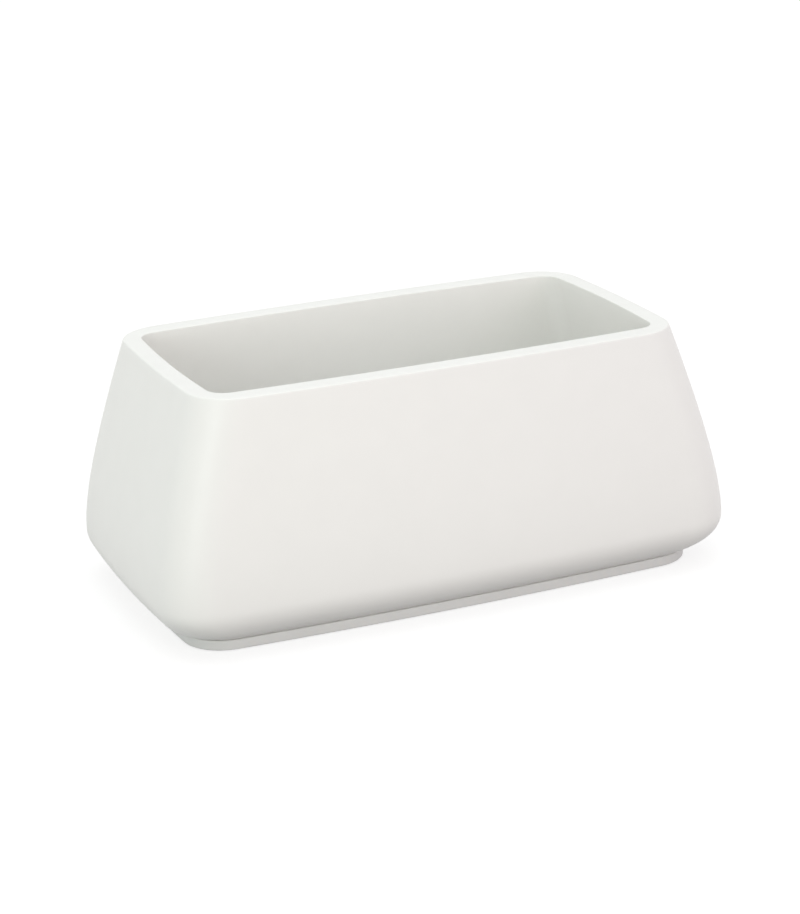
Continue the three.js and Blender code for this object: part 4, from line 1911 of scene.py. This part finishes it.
@dataclass
class DrainPlug:
    """One lift-out plug with its seal."""

    side: Side
    stem: float = 13.4
    head: float = 22
    head_thickness: float = 3.5
    head_rounds: Point2 = (0.4, 1.1)
    tip_chamfer: float = 1.5
    groove: float = 11.2
    groove_half: float = 1.4
    seal_depth: float = 8
    seal_radius: float = 1.1
    seal_gap: float = 0.3
    seal_steps: int = 16
    grip_length: float = 34
    grip_thickness: float = 5
    grip_height: float = 12
    grip_waist: float = 0.7
    grip_round: float = 1
    grip_round_steps: int = 4
    shoulder_steps: int = 8
    level_steps: int = 10

    def grip(self, base: float, place: Point2) -> Mesh:
        """The finger grip: an upright tab with round shoulders and a waist for the fingers.

        Args:
            base: height of the head's top.
            place: the plug's axis.

        Returns:
            A closed mesh.
        """
        half, shoulder = self.grip_length / 2, self.grip_height / 2
        level, foot = half - shoulder, -self.head_thickness / 2
        outline = [(-half, foot), (half, foot)]
        outline += on_arc((level, shoulder), shoulder, 0, QUARTER, self.shoulder_steps)
        for share in shares(self.level_steps)[1:-1]:
            outline.append((mix(level, -level, share), self.grip_height))
        outline += on_arc((-level, shoulder), shoulder, QUARTER, 2 * QUARTER, self.shoulder_steps)
        work = bmesh.new()
        sides = []
        for sign in (-1, 1):
            loop = []
            for x, z in outline:
                waist = self.grip_waist * math.cos(QUARTER * x / half) ** 2
                y = sign * (self.grip_thickness / 2 - waist)
                point = (place[0] + x, place[1] + y, base + z)
                loop.append(work.verts.new([value * MM for value in point]))
            sides.append(loop)
        walled(work, *sides)
        edges = [e for side in sides for e in work.edges if all(vert in side for vert in e.verts)]
        for loop in sides:
            centre = work.verts.new(sum((vert.co for vert in loop), Vector()) / len(loop))
            for here, ahead in zip(loop, loop[1:] + loop[:1]):
                work.faces.new([here, ahead, centre])
        bmesh.ops.recalc_face_normals(work, faces=work.faces)
        bmesh.ops.bevel(
            work,
            geom=edges,
            offset=self.grip_round * MM,
            segments=self.grip_round_steps,
            profile=0.5,
            affect="EDGES",
            clamp_overlap=True,
        )
        return as_mesh(work, "grip")

    def build(self, shop: Workshop) -> None:
        """Builds the plug and its seal and puts them in the scene.

        Args:
            shop: what to build with.
        """
        side = self.side.value
        node = f"drain_plug_{side}"
        low, high = (value.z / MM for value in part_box(node))
        place = middle(node)
        head_top = high - self.grip_height
        head_low = head_top - self.head_thickness
        seal = head_low - self.seal_depth
        profile = [
            (0, low),
            (self.stem - self.tip_chamfer, low),
            (self.stem, low + self.tip_chamfer),
            (self.stem, seal - self.groove_half),
            (self.groove, seal - self.groove_half),
            (self.groove, seal + self.groove_half),
            (self.stem, seal + self.groove_half),
            (self.stem, head_low),
            (self.head, head_low),
            (self.head, head_top),
            (0, head_top),
        ]
        profile = softened(profile, dict(enumerate(self.head_rounds, 8)))
        name, body = f"{side}_drain_plug", f"{side}_plug"
        stem = shop.solid(name, profile, [place], Slot.PLUG, FINE_STEPS)
        grip = self.grip(head_top, place)
        whole = cut_or_joined(stem, Change.JOIN, [grip], shop.materials[Slot.PLUG])
        put(name, whole, body, [node])
        centre = (self.groove + self.seal_gap + self.seal_radius, seal)
        section = circle(centre, self.seal_radius, self.seal_steps)
        name = f"{side}_plug_seal"
        mesh = shop.solid(name, [*section, section[0]], [place], Slot.SEAL, FINE_STEPS)
        put(name, mesh, body, [f"plug_seal_{side}"])


@dataclass
class PlinthFixings:
    """The screws that hold the plinth, their washers and the inserts they run into."""

    head: float = 5.5
    head_height: float = 4
    head_round: float = 1.2
    shank: float = 3
    tip_chamfer: float = 1
    socket_flats: float = 4
    socket_depth: float = 2.4
    socket_chamfer: Point2 = (0.4, 0.3)
    washer: float = 7
    washer_hole: float = 3.3
    washer_thickness: float = 1.6
    washer_round: float = 0.3
    insert: float = 4.6
    insert_length: float = 14
    knurl_start: float = 0.5
    knurl_pitch: float = 2
    knurl_depth: float = 0.4
    knurl_ends: Point2 = (0.6, 0.75)
    steps: int = 36

    def screw_profile(self) -> list[Point2]:
        """The screw with its hexagonal socket, from the socket's floor to the tip.

        Returns:
            The profile. Its points 1 and 2 are held to the socket's flats.
        """
        low, high = (value.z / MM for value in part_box("base_screw_1"))
        head_top, floor = low + self.head_height, low + self.socket_depth
        corner = self.socket_flats / math.sqrt(3)
        out, up = self.socket_chamfer
        return [
            (0, floor),
            (corner, floor),
            (corner, low + up),
            (corner + out, low),
            *soft_corner((0, low), (self.head, low), (self.head, head_top), self.head_round),
            (self.head, head_top),
            (self.shank, head_top),
            (self.shank, high - self.tip_chamfer),
            (self.shank - self.tip_chamfer, high),
            (0, high),
        ]

    def insert_profile(self) -> list[Point2]:
        """The insert with its knurls.

        Returns:
            The closed profile.
        """
        low = bottom("threaded_insert_1")
        high = low + self.insert_length
        hole, root = self.washer_hole, self.insert - self.knurl_depth
        crest, slope = (self.knurl_pitch * share for share in self.knurl_ends)
        profile = [(hole, low), (root, low)]
        height = low + self.knurl_start
        while height + self.knurl_pitch < high:
            profile += [(self.insert, height), (self.insert, height + crest)]
            profile.append((root, height + slope))
            height += self.knurl_pitch
        return profile + [(root, high), (hole, high), (hole, low)]

    def build(self, shop: Workshop) -> None:
        """Builds the three rows and puts them in the scene.

        Args:
            shop: what to build with.
        """
        places = middles(row_of("base_screw"))
        sizes = (self.washer_hole, self.washer, self.washer_thickness)
        washer = ring(*sizes, bottom("screw_washer_1"), self.washer_round, steps=2)
        held = {1: self.socket_flats, 2: self.socket_flats}
        jobs = (
            ("base_screws", self.screw_profile(), Slot.STEEL, "base_screw", held),
            ("screw_washers", washer, Slot.STEEL, "screw_washer", None),
            ("threaded_inserts", self.insert_profile(), Slot.BRASS, "threaded_insert", None),
        )
        for name, profile, slot, node, flats in jobs:
            mesh = shop.solid(name, profile, places, slot, self.steps, flats)
            put(name, mesh, "planter", row_of(node))


@dataclass
class FootPads:
    """The rubber pads under the plinth, with rings that grip the ground."""

    radius: float = 20
    thickness: float = 4.2
    edge_round: float = 1
    grooves: tuple[float, ...] = (4, 8, 12, 16)
    groove_depth: float = 0.7
    groove_width: float = 1.4
    groove_slope: float = 0.3
    steps: int = 60

    def build(self, shop: Workshop) -> None:
        """Builds the pads and puts them in the scene.

        Args:
            shop: what to build with.
        """
        places = middles(row_of("foot_pad"))
        profile: list[Point2] = [(0, 0)]
        half, slope = self.groove_width / 2, self.groove_slope
        for radius in self.grooves:
            profile += [
                (radius - half - slope, 0),
                (radius - half, self.groove_depth),
                (radius + half, self.groove_depth),
                (radius + half + slope, 0),
            ]
        edge = (self.radius, self.thickness)
        profile += soft_corner((0, 0), (self.radius, 0), edge, self.edge_round)
        profile += [edge, (0, self.thickness)]
        mesh = shop.solid("foot_pads", profile, places, Slot.FOOT, self.steps)
        put("foot_pads", mesh, "planter", row_of("foot_pad"))


@dataclass(frozen=True)
class Lamp:
    """One soft square lamp. Lengths are in metres and the power in watts."""

    name: str
    place: Point3
    target: Point3
    size: float
    power: float
    colour: Colour

    def hang(self) -> None:
        """Hangs the lamp and turns it to its target."""
        light = bpy.data.lights.new(self.name, "AREA")
        light.shape = "SQUARE"
        light.size = self.size
        light.energy = self.power
        light.color = self.colour
        lamp = stand(self.name, light)
        lamp.location = self.place
        way = Vector(self.target) - Vector(self.place)
        lamp.rotation_euler = way.to_track_quat("-Z", "Y").to_euler()


LAMPS = (
    Lamp("soft_top", (-0.2, 0.1, 3.4), (0, 0, 0.3), 2.6, 10.8, (0.61, 0.88, 1.0)),
    Lamp("corner_key", (-3.4, -2.5, 1.3), (-0.3, -0.2, 0.25), 1.6, 28.5, (0.9, 1.0, 0.97)),
    Lamp("right_fill", (2.6, -3.2, 1.4), (0.1, 0, 0.25), 2.2, 10.2, (0.8, 0.6, 1.0)),
    Lamp("front_low", (0.6, -4.0, 0.6), (0, 0, 0.2), 2.4, 29, (1.0, 0.87, 0.79)),
)


@dataclass
class Studio:
    """Camera, lamps, floor and world."""

    frame_height_px: float = 914
    focal_px: float = 2471.4
    yaw: float = 22.141
    pitch: float = 18.525
    roll: float = -2.340
    along_x: float = 6.94
    along_y: float = -181.41
    distance: float = 4209.5
    sensor: float = 36
    clip_end: float = 100
    world_tone: Colour = (1, 0.988, 0.965)
    world_strength: float = 0.905
    floor_half: float = 12
    floor_tone: float = 0.32
    shadow_tone: float = 0.36
    glow: float = 0.72

    def camera(self) -> None:
        """Stands the camera where the photograph was taken from."""
        yaw, pitch, roll = (math.radians(angle) for angle in (self.yaw, self.pitch, self.roll))
        level = math.cos(pitch)
        forward = Vector((math.sin(yaw) * level, math.cos(yaw) * level, -math.sin(pitch)))
        right = forward.cross(Vector((0, 0, 1))).normalized()
        up = right.cross(forward)
        turned_right = right * math.cos(roll) + up * math.sin(roll)
        turned_up = up * math.cos(roll) - right * math.sin(roll)
        back = turned_right * self.along_x + turned_up * self.along_y + forward * self.distance
        axes = Matrix((turned_right, turned_up, -forward)).transposed()
        lens = bpy.data.cameras.new("camera")
        lens.sensor_fit = "VERTICAL"
        lens.sensor_height = self.sensor
        lens.lens = self.sensor * self.focal_px / self.frame_height_px
        lens.clip_end = self.clip_end
        camera = stand("camera", lens)
        camera.matrix_world = Matrix.Translation(-back * MM) @ axes.to_4x4()
        bpy.context.scene.camera = camera

    def world(self) -> None:
        """Lights the room evenly, and shows white behind the object."""
        world = bpy.data.worlds.new("room")
        w = cleared(world)
        values = {"Color": (*self.world_tone, 1), "Strength": self.world_strength}
        room = w.add("ShaderNodeBackground", values)
        white = w.add("ShaderNodeBackground", {"Color": (1, 1, 1, 1), "Strength": 1.0})
        shown = w.by_ray(room.outputs[0], white.outputs[0])
        w.add("ShaderNodeOutputWorld", {"Surface": shown})
        bpy.context.scene.world = world

    def floor(self) -> None:
        """Lays a pale floor that shows white and keeps the object's shadow."""
        mesh = bpy.data.meshes.new("studio_floor")
        corners = [(u * self.floor_half, v * self.floor_half, 0) for u, v in CORNERS]
        mesh.from_pydata(corners, [], [(0, 1, 2, 3)])
        material = bpy.data.materials.new("studio_floor")
        w = cleared(material)
        matte = w.add("ShaderNodeBsdfDiffuse", {"Color": (*[self.floor_tone] * 3, 1)})
        shadow = w.add("ShaderNodeBsdfDiffuse", {"Color": (*[self.shadow_tone] * 3, 1)})
        glow = w.add("ShaderNodeEmission", {"Color": (1, 1, 1, 1), "Strength": self.glow})
        pale = w.add("ShaderNodeAddShader", {0: shadow.outputs[0], 1: glow.outputs[0]})
        shown = w.by_ray(matte.outputs[0], pale.outputs[0])
        w.add("ShaderNodeOutputMaterial", {"Surface": shown})
        mesh.materials.append(material)
        stand("studio_floor", mesh)

    def build(self) -> None:
        """Sets up the whole studio."""
        self.camera()
        self.world()
        self.floor()
        for lamp in LAMPS:
            lamp.hang()
        bpy.context.scene.view_settings.view_transform = "Standard"


def main() -> None:
    """Builds the planter and its studio."""
    logging.basicConfig(level=logging.INFO, format="%(name)s: %(message)s")
    Studio().build()
    effects = Effects()
    materials = {slot: finish.material(effects) for slot, finish in FINISHES.items()}
    shop = Workshop(BowedLoft(), TurnedRow(), materials)
    for assembly in (PlanterShell(), PlinthTray(), DrainFittings(), PlinthFixings(), FootPads()):
        assembly.build(shop)
    for side in Side:
        DrainPlug(side).build(shop)


if __name__ == "__main__":
    main()
